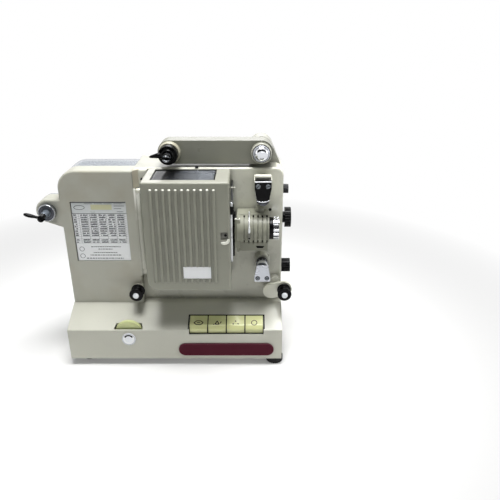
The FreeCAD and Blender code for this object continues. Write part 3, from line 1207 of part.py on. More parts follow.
def make_key_frame():
    cheek = dim.base_wall
    low = dim.key_skirt - dim.key_round * 3
    side_front = dim.base_wall + dim.base_plate_gap
    side_back = dim.key_pivot_y + dim.key_hub_radius
    pieces = []
    for x in (key_left - cheek, key_right):
        pieces.append(prism("X", [
            (side_front, low), (side_front, dim.key_lip),
            (dim.key_back, key_pivot_z), (side_back, key_pivot_z + dim.key_hub_radius),
            (side_back, low)], (x, x + cheek)))
    pieces.append(box((key_left - cheek, key_right + cheek), (side_front, side_back),
                      (low, low + dim.base_plate_thickness)))
    pieces.append(rod("X", (dim.key_pivot_y, key_pivot_z), dim.key_shaft_radius,
                      (key_left - cheek, key_right + cheek)))
    for x in (key_left - cheek, key_right):
        pieces.append(box((x, x + cheek), (side_front + cheek, side_back),
                          (dim.base_plate_thickness, low + cheek)))
    node("key_frame", fuse(*pieces))


def make_speed_wheel():
    centre = (dim.speed_x, dim.speed_z)
    disc = fluted("Y", centre, dim.speed_radius, (dim.speed_front, dim.speed_back),
                  dim.speed_flutes, dim.knurl_radius * 0.5)
    axle = rod("Y", centre, dim.speed_axle, (dim.speed_back - dim.speed_axle,
                                             dim.speed_bracket_y + dim.base_plate_thickness * 2))
    node("speed_wheel", fuse(disc, axle))


# Film rollers
def make_roller(name, x, z):
    centre = (x, z)
    front, back = roller_span
    core = rod("Y", centre, dim.roller_core, roller_span)
    front_flange = rod("Y", centre, dim.roller_radius, (front, front + dim.flange))
    back_flange = rod("Y", centre, dim.roller_radius, (back - dim.flange, back))
    bore = rod("Y", centre, dim.roller_pin_radius + dim.fit, (front - dim.flange, back + dim.flange))
    node(name, cut(fuse(core, front_flange, back_flange), bore))


def roller_post(x, z, back):
    """The pin that a roller turns on, with its round cap in front."""
    cap_back = dim.roller_front - dim.door_gap
    return fuse(rod("Y", (x, z), dim.roller_pin_radius, (cap_back, back)),
                rod("Y", (x, z), dim.roller_cap_radius, (cap_back - dim.roller_cap, cap_back)))


def make_rollers():
    make_roller("left_roller", dim.left_roller_x, dim.left_roller_z)
    make_roller("right_roller", dim.right_roller_x, dim.right_roller_z)
    node("left_roller_post", roller_post(dim.left_roller_x, dim.left_roller_z,
                                         dim.panel_front + dim.panel_wall))
    span = (dim.roller_arm_front, dim.roller_arm_back)
    pivot = (dim.roller_arm_x, dim.roller_arm_z)
    tip = (dim.right_roller_x, dim.right_roller_z)
    radius = dim.roller_arm_radius
    web = prism("Y", [(pivot[0], pivot[1] - radius), (pivot[0], pivot[1] + radius),
                      (tip[0], tip[1] + radius), (tip[0], tip[1] - radius)], span)
    bore = rod("Y", pivot, dim.roller_pin_radius + dim.fit,
               (dim.roller_arm_front + dim.door_gap / 2, dim.roller_arm_back + dim.flange))
    arm = cut(fuse(rod("Y", pivot, radius, span), rod("Y", tip, radius, span), web), bore)
    node("roller_arm", fuse(arm, roller_post(tip[0], tip[1], dim.roller_arm_back)))


# Supply arm and spindles
def make_supply_arm():
    pivot = (dim.arm_pivot_x, dim.arm_pivot_z)
    span = (dim.arm_front, dim.arm_back)
    half = dim.arm_height / 2
    bar = fuse(rod("Y", pivot, half, span), rod("Y", supply_axis, half, span),
               box((supply_x, dim.arm_pivot_x), span, (dim.arm_pivot_z - half, dim.arm_pivot_z + half)))
    back = value_of(dim.arm_back)
    bar = rounded(bar, dim.base_edge_round, lambda edge: abs(edge.CenterOfMass.y - back) < 0.01)
    boss_span = (dim.arm_boss_front, dim.arm_front + dim.arm_hollow_wall)
    bosses = [rod("Y", pivot, dim.arm_boss_radius - dim.base_edge_round, boss_span),
              cone("Y", supply_axis, dim.arm_boss_radius * 0.86, dim.arm_boss_radius * 0.98, boss_span)]
    wall = dim.arm_hollow_wall
    inside = (dim.arm_front + wall, dim.arm_back + wall)
    hollow = fuse(box((supply_x, dim.arm_pivot_x - dim.arm_boss_radius), inside,
                      (dim.arm_pivot_z - half + wall, dim.arm_pivot_z + half - wall)),
                  rod("Y", supply_axis, half - wall, inside))
    through = (dim.arm_boss_front - wall, dim.arm_back + wall)
    holes = [rod("Y", pivot, dim.arm_stud_radius + dim.fit, through),
             rod("Y", supply_axis, dim.journal_radius + dim.fit, through)]
    lid_span = (dim.arm_back - wall / 2, dim.arm_back)
    lid = fuse(box((supply_x, dim.arm_pivot_x - dim.arm_boss_radius), lid_span,
                   (dim.arm_pivot_z - half + wall, dim.arm_pivot_z + half - wall)),
               rod("Y", supply_axis, half - wall, lid_span))
    node("supply_arm", cut(fuse(cut(fuse(bar, *bosses), hollow), lid), *holes))
    nut_back = dim.arm_boss_front - dim.door_gap
    stud = rod("Y", pivot, dim.arm_stud_radius, (nut_back, dim.ear_back))
    dome = common(ball(dim.arm_pivot_x, nut_back + dim.nut_radius - dim.nut_height, dim.arm_pivot_z,
                       dim.nut_radius * 1.15),
                  rod("Y", pivot, dim.nut_radius, (nut_back - dim.nut_height, nut_back)))
    node("arm_pivot_stud", fuse(stud, dome))


def spindle_end(axis_place, tip, shoulder):
    """A reel spindle: a slimmer slotted end for its latch, the reel's seat, and a relief neck."""
    x, z = axis_place
    half = dim.latch_slot / 2
    neck = shoulder - dim.spindle_neck
    slot_end = latch_pivot_y(tip) + dim.latch_root + dim.latch_gap
    seat = slot_end + dim.latch_gap
    shaft = fuse(rod("Y", axis_place, dim.spindle_tip_radius, (tip, seat)),
                 rod("Y", axis_place, dim.spindle_radius, (seat, neck)),
                 rod("Y", axis_place, dim.neck_radius, (neck, shoulder)))
    reach = dim.spindle_radius * 2
    slot = box((x - reach, x + reach), (tip - dim.spindle_radius, slot_end), (z - half, z + half))
    return cut(shaft, slot)


def latch_pivot_y(tip):
    return tip + dim.spindle_radius


def tilted(solid, axis_place, tilt):
    """Turn a finished spindle piece about its own axis."""
    x, z = axis_place
    turn = FreeCAD.Rotation(Vec(0, 1, 0), value_of(tilt))
    holder = group(solid)
    holder.Placement = FreeCAD.Placement(Vec(0, 0, 0), turn, Vec(value_of(x), 0, value_of(z)))
    return holder


def make_latch(name, axis_place, tip, tilt):
    """A blade that folds square to the spindle to hold the reel, on a cross pin in its slot."""
    x, z = axis_place
    half = dim.latch_thickness / 2
    y = latch_pivot_y(tip)
    root = rod("Z", (x, y), dim.latch_root, (z - half, z + half))
    blade = prism("Z", [(x, y - dim.latch_root), (x, y + dim.latch_root),
                        (x - dim.latch_length, y + dim.latch_blade * 0.2),
                        (x - dim.latch_length, y - dim.latch_blade * 0.5)], (z - half, z + half))
    end = rod("Z", (x - dim.latch_length, y - dim.latch_blade * 0.15), dim.latch_blade * 0.35,
              (z - half, z + half))
    node(name, tilted(fuse(root, blade, end), axis_place, tilt))


def make_spindles():
    pulley_span = (dim.panel_front + dim.panel_wall * 2, dim.panel_front + dim.panel_wall * 4)
    shaft = spindle_end(takeup_axis, dim.takeup_tip, dim.collar_front)
    journal = rod("Y", takeup_axis, dim.journal_radius,
                  (dim.collar_front, dim.ear_cover_back - dim.cover_wall - dim.door_gap))
    pulley = rod("Y", takeup_axis, dim.pulley_radius, pulley_span)
    node("takeup_spindle", tilted(fuse(shaft, journal, pulley), takeup_axis, dim.takeup_latch_tilt))
    make_latch("takeup_latch", takeup_axis, dim.takeup_tip, dim.takeup_latch_tilt)
    node("takeup_collar", ring("Y", takeup_axis, dim.collar_radius, dim.journal_radius + dim.fit,
                               (dim.collar_front, dim.panel_front)))
    disc = rod("Y", supply_axis, dim.disc_radius, (dim.disc_front, dim.arm_boss_front - dim.door_gap))
    shaft = spindle_end(supply_axis, dim.supply_tip, dim.disc_front)
    journal = rod("Y", supply_axis, dim.journal_radius,
                  (dim.disc_front, dim.arm_back - dim.arm_hollow_wall))
    pulley = rod("Y", supply_axis, dim.pulley_radius,
                 (dim.arm_front + dim.arm_hollow_wall + dim.door_gap,
                  dim.arm_back - dim.arm_hollow_wall - dim.flange))
    node("supply_spindle", tilted(fuse(shaft, journal, disc, pulley), supply_axis,
                                  dim.supply_latch_tilt))
    make_latch("supply_latch", supply_axis, dim.supply_tip, dim.supply_latch_tilt)


# Knobs on the right side
def make_side_knobs():
    face = half_width + dim.knob_gap
    for name, z, radius, length in (
            ("small_knob", dim.small_knob_z, dim.small_knob_radius, dim.small_knob_length),
            ("framing_knob", dim.framing_z, dim.framing_radius, dim.framing_length)):
        head = fluted("X", (dim.knob_y, z), radius, (face, face + length), dim.knurl_count,
                      dim.knurl_radius * 0.6)
        stem = rod("X", (dim.knob_y, z), dim.knob_shaft_radius,
                   (half_width - dim.block_wall - dim.bush_length, face + length / 2))
        node(name, fuse(head, stem))


make_base_shell()
make_base_plate()
make_feet()
make_left_panel()
make_left_rear_cover()
make_front_plates()
make_main_casting()
make_back_cover()
make_screws()
make_door()
make_pins()
make_lamp()
make_gate()
make_lens_mount()
make_lens()
make_lever()
make_sprocket("upper_sprocket", dim.upper_sprocket_z)
make_sprocket("lower_sprocket", dim.lower_sprocket_z)
make_keeper("upper_keeper", *keeper_pivots()[0], 1.0, dim.upper_keeper_end,
            dim.upper_keeper_tip)
make_keeper("lower_keeper", *keeper_pivots()[1], -1.0, dim.lower_keeper_end,
            dim.lower_keeper_tip)
make_main_shaft()
make_fan()
make_motor()
make_layshaft()
make_bushes()
make_claw()
make_transformer()
make_inlet()
make_keys()
make_key_frame()
make_speed_wheel()
make_rollers()
make_supply_arm()
make_spindles()
make_side_knobs()
doc.recompute()

# Every object has to be sound before anything is written
for item in doc.Objects:
    if "Invalid" in item.State or "Error" in item.State:
        raise RuntimeError("%s (%s) failed: %s" % (item.Name, item.Label, item.State))
for name, item in NODES.items():
    if item.Shape.isNull() or not item.Shape.isValid() or not item.Shape.Solids:
        raise RuntimeError("%s has no sound shape" % name)

# The origin goes under the middle of the whole object
bounds = FreeCAD.BoundBox()
for item in NODES.values():
    bounds.add(item.Shape.BoundBox)
shift = Vec(-bounds.Center.x, -bounds.Center.y, -bounds.ZMin)
os.makedirs("parts", exist_ok=True)
for name, item in NODES.items():
    item.Placement = FreeCAD.Placement(shift, FreeCAD.Rotation()).multiply(item.Placement)
    shape = item.Shape.copy()
    shape.exportStep("parts/%s.step" % name)
print("%d sub-parts, shift %.4f %.4f %.4f" % (len(NODES), shift.x, shift.y, shift.z))
print("size %.2f x %.2f x %.2f" % (bounds.XLength, bounds.YLength, bounds.ZLength))
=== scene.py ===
"""A table-top film projector, dressed for display.

Places are in millimetres: x from the middle of the base, y from its front, z from its underside.
"""
import math
import random

import bmesh
import bpy
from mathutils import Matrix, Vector


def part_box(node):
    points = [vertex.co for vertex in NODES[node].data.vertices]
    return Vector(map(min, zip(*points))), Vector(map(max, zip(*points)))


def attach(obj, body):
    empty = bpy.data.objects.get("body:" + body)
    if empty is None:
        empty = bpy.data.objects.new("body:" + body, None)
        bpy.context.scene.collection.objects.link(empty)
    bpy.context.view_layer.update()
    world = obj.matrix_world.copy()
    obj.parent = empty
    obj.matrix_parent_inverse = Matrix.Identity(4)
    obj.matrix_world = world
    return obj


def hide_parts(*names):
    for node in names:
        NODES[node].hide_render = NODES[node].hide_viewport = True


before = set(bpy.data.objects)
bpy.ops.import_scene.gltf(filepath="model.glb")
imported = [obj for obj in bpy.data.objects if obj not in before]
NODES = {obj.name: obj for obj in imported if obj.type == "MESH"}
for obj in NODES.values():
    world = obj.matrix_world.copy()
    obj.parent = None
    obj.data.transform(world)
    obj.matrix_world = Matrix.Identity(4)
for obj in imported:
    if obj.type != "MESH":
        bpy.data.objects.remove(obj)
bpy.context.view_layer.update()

BASE_CORNER = Vector((-125.0, 0.0, 0.0))
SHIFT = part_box("base_shell")[0] * 1000 - BASE_CORNER
random.seed(11)

# Middle of the keepers, their screws' distance from it, and the place of the needle lever
KEEPER_X, SCREW_SHIFT, NEEDLE_X = 101.5, 5.3, 86.6

# Axes that several pieces share, each as its two other coordinates
TAKEUP = (-139.0, 172.7)
SUPPLY = (-0.8, 236.6)
PIVOT = (100.0, 236.6)
LENS = (25.0, 157.0)
MARK = (-54.3, 27.4)
LOWER_SPROCKET = (KEEPER_X, 111.3)

# The sloping deck, and the keys in it
DECK_START, DECK_RISE, DECK_RUN = 39.0, 17.0, 36.0
SLOPE = math.atan2(DECK_RISE, DECK_RUN)
KEYS_START, KEY_PITCH, KEY_COUNT = 16.3, 21.75, 4

# Rows that repeat: how many, and how far apart
GROOVES, GROOVE_START, GROOVE_PITCH = 6, 81.2, 5.0
RIBS, RIB_START, RIB_PITCH = 11, -15.0, 6.5
LOUVRES, LOUVRE_START, LOUVRE_PITCH = 17, 7.0, 2.1

# Data plate
CHART_LEFT, CHART_RIGHT = -113.0, -51.5
ROW_PITCH, COLUMNS, COLUMN_PITCH = 2.75, 6, 10.3


def place(x, y, z):
    """A point of the design, in metres of the row frame."""
    return (Vector((x, y, z)) + SHIFT) / 1000


def deck(y):
    """Height of the sloping deck at a depth."""
    return DECK_START + DECK_RISE / DECK_RUN * y


def new_object(name, data):
    """An object that is linked to the scene."""
    made = bpy.data.objects.new(name, data)
    bpy.context.scene.collection.objects.link(made)
    return made


# Materials
MATERIALS = {}
WHITE = (1.0, 1.0, 1.0, 1.0)


def linear(red, green, blue):
    """A display colour, 0 to 255, as the shader's linear colour."""
    values = [value / 255 for value in (red, green, blue)]
    return tuple(v / 12.92 if v <= 0.04045 else ((v + 0.055) / 1.055) ** 2.4
                 for v in values) + (1.0,)


class Tree:
    """A short way to write the nodes of a material or a world."""

    def __init__(self, owner, output="OutputMaterial"):
        owner.use_nodes = True
        self.owner = owner
        self.nodes = owner.node_tree.nodes
        self.links = owner.node_tree.links
        self.nodes.clear()
        self.output = self.add(output)

    def add(self, kind, settings=None, **inputs):
        made = self.nodes.new("ShaderNode" + kind)
        for key, value in (settings or {}).items():
            setattr(made, key, value)
        for key, value in inputs.items():
            socket = made.inputs[int(key[1:]) if key[0] == "_" else key.replace("_", " ")]
            if isinstance(value, bpy.types.NodeSocket):
                self.links.new(value, socket)
            else:
                socket.default_value = value
        return made

    def noise(self, vector, scale, detail=3.0, rough=0.5):
        made = self.add("TexNoise", Vector=vector, Scale=scale, Detail=detail, Roughness=rough)
        return made.outputs["Fac"]

    def ramp(self, value, low, high, out_low=0.0, out_high=1.0):
        made = self.add("MapRange", Value=value, From_Min=low, From_Max=high, To_Min=out_low,
                        To_Max=out_high)
        return made.outputs["Result"]

    def mix(self, share, first, second):
        made = self.add("Mix", {"data_type": "RGBA"}, _0=share, _6=first, _7=second)
        return made.outputs[2]

    def maths(self, kind, first, second):
        return self.add("Math", {"operation": kind}, _0=first, _1=second).outputs[0]

    def finish(self, shader):
        self.links.new(shader.outputs[0], self.output.inputs["Surface"])
        return self.owner


def shade(color, factor):
    return tuple(min(1.0, channel * factor) for channel in color[:3]) + (1.0,)


def surface(key, name, color, rough, metal=0.0, mottle=0.05, mottle_scale=25.0, grain=0.15,
            grain_scale=900.0, stretch=(1.0, 1.0, 1.0), edge=None, edge_share=0.5, grime=0.0,
            bevel=0.0005, coat=0.0, speck=0.0, rough_spread=0.08, specular=0.5, grime_reach=0.007,
            grime_tone=0.28, grime_from=0.35, stain=0.0, fade=None):
    """One finish: mottled colour, worn edges, dirt and painted shade in corners, grain and a soft
    edge.
    """
    tree = Tree(bpy.data.materials.new(name))
    coords = tree.add("TexCoord").outputs["Object"]
    cloud = tree.noise(coords, mottle_scale, 5.0, 0.6)
    share = tree.ramp(cloud, 0.3, 0.7)
    tone = tree.mix(share, shade(color, 1 - mottle), shade(color, 1 + mottle))
    if stain:
        spread = tree.maths("MULTIPLY", tree.noise(coords, 9.0, 6.0, 0.65),
                            tree.noise(coords, 31.0, 3.0))
        tone = tree.mix(tree.ramp(spread, 0.24, 0.42, 0.0, stain), tone, linear(158, 146, 120))
    # Painted light: a colour ramp along one axis, lighter or darker towards one end as light and
    # reflections fall.
    if fade:
        axis, low, high, end = fade
        side = tree.add("SeparateXYZ", Vector=coords).outputs[axis]
        tone = tree.mix(tree.ramp(side, low, high), tone, end)
    if speck:
        dots = tree.noise(coords, 420.0, 2.0)
        tone = tree.mix(tree.ramp(dots, 0.68, 0.74, 0.0, speck), tone, shade(color, 0.35))
    # Dirt and painted shade: ambient occlusion darkens corners, creases and valleys, in random
    # patches.
    if grime:
        hollow = tree.add("AmbientOcclusion", {"samples": 8}, Distance=grime_reach)
        dirt_and_shade = tree.ramp(hollow.outputs["AO"], grime_from, 0.97, grime, 0.0)
        patch = tree.ramp(tree.noise(coords, 60.0), 0.25, 0.75, 0.55, 1.0)
        tone = tree.mix(tree.maths("MULTIPLY", dirt_and_shade, patch), tone, shade(color, grime_tone))
    soft = tree.add("Bevel", {"samples": 6}, Radius=bevel)
    # Edges in the edge colour: wear, and where that colour is pale, on the castings and roller arm,
    # also a painted highlight.
    if edge:
        sharp = tree.add("NewGeometry").outputs["Normal"]
        turned = tree.add("VectorMath", {"operation": "DOT_PRODUCT"}, _0=soft.outputs[0], _1=sharp)
        worn = tree.ramp(turned.outputs["Value"], 0.985, 0.9, 0.0, edge_share)
        patch = tree.ramp(tree.noise(coords, 140.0, 4.0), 0.4, 0.62)
        tone = tree.mix(tree.maths("MULTIPLY", worn, patch), tone, edge)
    across = tree.add("Mapping", Vector=coords, Scale=stretch).outputs[0]
    fine = tree.noise(across, grain_scale, 3.0)
    bump = tree.add("Bump", Strength=grain, Distance=0.0002, Height=fine, Normal=soft.outputs[0])
    gloss = tree.ramp(tree.noise(across, mottle_scale * 3, 4.0), 0.3, 0.7,
                      max(0.02, rough - rough_spread), min(1.0, rough + rough_spread))
    shader = tree.add("BsdfPrincipled", Base_Color=tone, Roughness=gloss, Metallic=metal,
                      Normal=bump.outputs[0])
    shader.inputs["Coat Weight"].default_value = coat
    shader.inputs["Coat Roughness"].default_value = 0.12
    shader.inputs["Specular IOR Level"].default_value = specular
    MATERIALS[key] = tree.finish(shader)


def enamel(key, name, color, rough, **settings):
    """A cream enamel of the castings, with what differs from the others given."""
    shared = {"mottle": 0.035, "mottle_scale": 18.0, "grain": 0.10, "grain_scale": 700.0}
    surface(key, name, color, rough, **{**shared, **settings})


def clear(key, name, color, rough, weight, ior, smudge=0.03):
    """Glass with faint smudges."""
    tree = Tree(bpy.data.materials.new(name))
    coords = tree.add("TexCoord").outputs["Object"]
    cloud = tree.noise(coords, 70.0, 5.0)
    tone = tree.mix(tree.ramp(cloud, 0.3, 0.7), shade(color, 0.94), color)
    gloss = tree.ramp(tree.noise(coords, 35.0, 4.0), 0.35, 0.7, rough, rough + smudge)
    shader = tree.add("BsdfPrincipled", Base_Color=tone, Roughness=gloss)
    shader.inputs["Transmission Weight"].default_value = weight
    shader.inputs["IOR"].default_value = ior
    MATERIALS[key] = tree.finish(shader)


def film(key, name, color, body):
    """Thin clear plastic: mostly see-through, with a faint tint, scratches and a denser edge."""
    tree = Tree(bpy.data.materials.new(name))
    coords = tree.add("TexCoord").outputs["Object"]
    across = tree.add("Mapping", Vector=coords, Scale=(1.0, 1.0, 8.0)).outputs[0]
    streak = tree.noise(across, 24.0, 3.0)
    tone = tree.mix(tree.ramp(streak, 0.3, 0.7), shade(color, 0.96), color)
    gloss = tree.ramp(tree.noise(coords, 35.0, 4.0), 0.35, 0.7, 0.2, 0.3)
    bump = tree.add("Bump", Strength=0.02, Distance=0.0002, Height=streak)
    shader = tree.add("BsdfPrincipled", Base_Color=tone, Roughness=gloss, Normal=bump.outputs[0])
    shader.inputs["Specular IOR Level"].default_value = 0.6
    open_part = tree.add("BsdfTransparent", Color=(0.93, 0.94, 0.95, 1.0))
    facing = tree.add("LayerWeight", Blend=0.25).outputs["Facing"]
    share = tree.ramp(facing, 0.0, 1.0, body, min(1.0, body + 0.5))
    mixed = tree.add("MixShader", _0=share, _1=open_part.outputs[0], _2=shader.outputs[0])
    MATERIALS[key] = tree.finish(mixed)


# Every finish: the key that pieces ask for it by, and the name of its material
CREAM = linear(188, 188, 175)
# The cream finishes are one enamel; most variants below are lit or shaded copies of it, toned for
# how the light falls on each part.
enamel("cream", "cream_paint", CREAM, 0.36, edge=shade(CREAM, 1.12), edge_share=0.35, grime=0.75,
       bevel=0.0008, coat=0.15, speck=0.10)
# Left panel: a little darker, painted shade, with real stains.
enamel("panel_cream", "panel_shaded_paint", shade(CREAM, 0.93), 0.36, edge=shade(CREAM, 1.12),
       edge_share=0.35, grime=0.75, bevel=0.0008, coat=0.15, speck=0.10, stain=0.35)
# Castings: the ramp to a lighter tone upwards is painted light, and the pale edges are partly wear
# and partly a painted highlight.
enamel("casting_cream", "casting_paint", shade(CREAM, 1.01), 0.3, grain=0.08,
       edge=linear(232, 232, 222), edge_share=0.8, grime=0.6, bevel=0.0016, coat=0.3, speck=0.08,
       fade=("Z", place(0, 0, 115).z, place(0, 0, 190).z, shade(CREAM, 1.48)))
# Top faces: a tone set for how the light falls on them, painted light and shade.
enamel("top_lighting_cream", "tops_painted_light_and_shade", shade(CREAM, 0.8), 0.36, mottle=0.04, edge=shade(CREAM, 1.12),
       edge_share=0.5, grime=0.6, bevel=0.0008, coat=0.15, speck=0.10)
# Hinge column: lighter towards its top, a painted highlight.
surface("column_highlight_cream", "column_painted_highlight", shade(CREAM, 0.98), 0.24, mottle=0.03, mottle_scale=18.0,
        grain=0.05, bevel=0.0006, coat=0.5, fade=("Z", place(0, 0, 172).z, place(0, 0, 194).z,
                                                  linear(246, 246, 236)))
# Lamp house door: much darker, painted shade, with dirt and painted shade reaching into the rib
# valleys.
enamel("door_cream", "door_shaded_paint", shade(linear(189, 190, 172), 0.6), 0.36, edge=shade(CREAM, 0.95),
       edge_share=0.6, grime=0.95, bevel=0.0006, coat=0.15, speck=0.12, grime_reach=0.0035,
       grime_tone=0.45, grime_from=0.60)
# Supply arm: much darker, painted shade.
enamel("arm_cream", "arm_shaded_paint", shade(linear(189, 190, 172), 0.49), 0.34, mottle=0.04,
       edge=shade(CREAM, 0.95), edge_share=0.5, grime=0.7, bevel=0.0008, coat=0.15, speck=0.12)
# Top of the supply arm: painted shade, a little lighter than its front.
enamel("arm_top_cream", "arm_top_shaded_paint", shade(CREAM, 0.52), 0.36, mottle=0.04,
       edge=shade(CREAM, 1.1), edge_share=0.5, grime=0.5, coat=0.15)
# Boss of the supply arm: lighter, painted light.
enamel("boss_cream", "boss_lit_paint", shade(linear(196, 192, 170), 0.82), 0.34, mottle=0.04, grime=0.4,
       coat=0.15)
# Groove beside the hinge column: lighter and without corner darkening, painted light.
enamel("groove_lit_cream", "groove_painted_light", shade(linear(190, 184, 166), 1.15), 0.4)
# Roller arm: much lighter, painted light, with pale edges as a painted highlight.
enamel("light_cream", "roller_arm_lit_paint", shade(CREAM, 1.5), 0.34, edge=linear(232, 232, 222),
       edge_share=0.5, grime=0.4, coat=0.15, speck=0.08)
# Lens mount: darker, painted shade.
enamel("mount_cream", "mount_shaded_paint", shade(linear(189, 190, 170), 0.56), 0.5,
       edge=shade(CREAM, 1.05), edge_share=0.5, grime=0.6, bevel=0.0006, speck=0.12,
       grime_reach=0.004, grime_tone=0.5, grime_from=0.4)
# Vent plate: dark lacquer; its ramp to a lighter grey towards the right is a painted reflection.
surface("vent", "vent_lacquer", linear(24, 26, 31), 0.13, metal=0.45, specular=0.18, mottle=0.10,
        mottle_scale=14.0, grain=0.04, coat=0.05, speck=0.2, grime=0.3,
        fade=("X", place(6, 0, 0).x, place(34, 0, 0).x, linear(116, 120, 126)))
surface("plate", "printed_alloy", linear(249, 251, 252), 0.34, mottle=0.02, grain=0.03, grime=0.4)
surface("silver", "satin_alloy", linear(196, 199, 206), 0.32, metal=0.6, mottle=0.03, grain=0.05,
        edge=linear(230, 230, 234), grime=0.6)
surface("maroon", "maroon_enamel", linear(72, 8, 30), 0.4, mottle=0.05, grain=0.03, specular=0.12,
        speck=0.08, edge=linear(150, 120, 122), edge_share=0.4, bevel=0.0004)
surface("ink", "printing_ink", linear(46, 50, 58), 0.5, specular=0.2, mottle=0.1, grain=0.05)
surface("maroon_rim", "maroon_rim", linear(120, 62, 76), 0.4, mottle=0.08, grain=0.03)
surface("brown_ink", "brown_ink", linear(48, 32, 12), 0.5, mottle=0.1, grain=0.05)
surface("band", "header_band", linear(216, 220, 220), 0.34, metal=0.1, mottle=0.06, grain=0.06)
surface("yellow", "header_strip", linear(216, 216, 176), 0.35, mottle=0.06, grain=0.06)
surface("rubber", "foot_rubber", linear(34, 33, 32), 0.75, mottle=0.15, grain=0.4,
        grain_scale=500.0, speck=0.2)
surface("key", "key_plastic", linear(220, 222, 162), 0.22, mottle=0.03, grain=0.04, coat=0.35,
        grime=0.5, edge=linear(214, 215, 175), edge_share=0.4, bevel=0.0005, speck=0.06)
surface("wheel", "wheel_plastic", linear(208, 214, 154), 0.34, mottle=0.04, grain=0.08, grime=0.6,
        bevel=0.0003)
surface("black", "black_plastic", linear(7, 7, 8), 0.2, mottle=0.12, grain=0.03, specular=0.12,
        edge=linear(44, 45, 48), edge_share=0.12, bevel=0.0004, speck=0.1)
surface("gloss_black", "knob_plastic", linear(4, 4, 5), 0.12, mottle=0.12, grain=0.03, specular=0.1,
        edge=linear(60, 61, 64), edge_share=0.2, bevel=0.0005, speck=0.1)
surface("spindle", "spindle_alloy", linear(122, 130, 140), 0.34, metal=0.35, mottle=0.06,
        grain=0.08, grime=0.4)
surface("matt_black", "matt_black", linear(26, 26, 27), 0.5, specular=0.25, mottle=0.15, grain=0.15,
        edge=linear(88, 88, 90), edge_share=0.4, bevel=0.0003)
surface("grey", "grey_plastic", linear(36, 36, 40), 0.35, specular=0.3, mottle=0.06, grain=0.08,
        grime=0.3)
surface("screw_grey", "screw_grey", linear(120, 126, 132), 0.3, metal=0.5, mottle=0.08, grain=0.1,
        grime=0.4)
surface("white", "white_plastic", linear(240, 243, 247), 0.3, mottle=0.03, grain=0.04, coat=0.2,
        grime=0.3)
surface("wire", "bright_wire", linear(232, 234, 236), 0.3, metal=0.5, mottle=0.03, grain=0.02)
surface("ring", "bright_ring", linear(226, 228, 232), 0.2, metal=1.0, mottle=0.03, grain=0.02,
        bevel=0.0003, rough_spread=0.03)
surface("chrome", "chrome", linear(222, 224, 228), 0.08, metal=1.0, mottle=0.02, grain=0.01,
        bevel=0.0003, rough_spread=0.03)
surface("steel", "turned_steel", linear(176, 178, 182), 0.28, metal=1.0, mottle=0.05, grain=0.12,
        grain_scale=800.0, stretch=(1.0, 6.0, 1.0), grime=0.5, bevel=0.0003)
surface("dark_steel", "dark_steel", linear(84, 86, 92), 0.34, metal=1.0, mottle=0.1, grain=0.15,
        grime=0.5, edge=linear(170, 172, 178), edge_share=0.5, bevel=0.0003)
surface("zinc", "zinc_plate", linear(168, 168, 160), 0.4, metal=0.9, mottle=0.09, mottle_scale=40.0,
        grain=0.15, grime=0.5, speck=0.12)
surface("iron", "stacked_sheets", linear(66, 62, 60), 0.55, metal=0.6, mottle=0.12, grain=0.5,
        grain_scale=1400.0, stretch=(0.05, 1.0, 0.05), grime=0.4)
surface("bronze", "sintered_bronze", linear(168, 128, 74), 0.4, metal=0.9, mottle=0.1, grain=0.25,
        grime=0.4)
surface("mirror", "reflector_mirror", linear(226, 228, 230), 0.06, metal=1.0, mottle=0.02,
        grain=0.02, rough_spread=0.02)
# Near black: painted shade in holes, slots, gaps and recesses, and black print on the mark disc's
# arc.
surface("hole", "hole_shade_and_black_print", linear(10, 10, 10), 0.8, mottle=0.2, grain=0.1, specular=0.1)
film("smoke", "clear_cover", linear(150, 156, 164), 0.17)
# Painted highlight: a near-white cream for small tops and ridges that catch the light.
surface("highlight_cream", "painted_highlight_tip", linear(238, 238, 226), 0.25, mottle=0.03, grain=0.05, coat=0.3)
# Painted shade: a dark cream for the latch recess floor and the needle's root, where shade falls.
surface("painted_shade_cream", "painted_recess_shade", shade(CREAM, 0.42), 0.5, mottle=0.05, grain=0.1, grime=0.6)
surface("collar", "dull_collar", linear(118, 122, 124), 0.3, metal=0.8, mottle=0.06, grain=0.1,
        grain_scale=500.0, grime=0.7, edge=linear(190, 194, 198), bevel=0.0004)
clear("glass", "lamp_glass", linear(240, 244, 246), 0.02, 0.96, 1.4)
surface("lens", "coated_lens", linear(38, 40, 66), 0.05, metal=0.5, mottle=0.2, mottle_scale=60.0,
        grain=0.01, coat=1.0, rough_spread=0.02)

DRESS = {
    "cream": "base_shell back_cover left_roller_post",
    "light_cream": "roller_arm",
    "panel_cream": "left_panel",
    "casting_cream": "main_casting",
    "door_cream": "lamp_house_door",
    "mount_cream": "lens_mount",
    "arm_cream": "supply_arm",
    "smoke": "left_rear_cover",
    "vent": "vent_plate",
    "plate": "chart_plate badge_plate speed_mark_disc",
    "maroon": "nameplate",
    "rubber": "rubber_feet",
    "matt_black": "tilt_foot mains_inlet cooling_fan motor shutter_disc",
    "key": "key_1 key_2 key_3 key_4",
    "wheel": "speed_wheel",
    "gloss_black": "inching_knob framing_knob",
    "black": "left_roller right_roller takeup_latch supply_latch lens_tube upper_keeper "
             "pressure_plate",
    "grey": "small_knob",
    "chrome": "mount_lever arm_pivot_stud supply_spindle gate_plate",
    "ring": "focus_ring",
    "silver": "lower_keeper",
    "collar": "takeup_collar",
    "spindle": "takeup_spindle",
    "steel": "case_screws hinge_pins film_claw main_shaft layshaft lower_sprocket upper_sprocket",
    "zinc": "key_frame base_plate lamp_frame",
    "iron": "transformer",
    "bronze": "shaft_bushes",
    "glass": "lamp_bulb condenser_lens",
    "lens": "lens_glass",
    "mirror": "lamp_reflector",
}
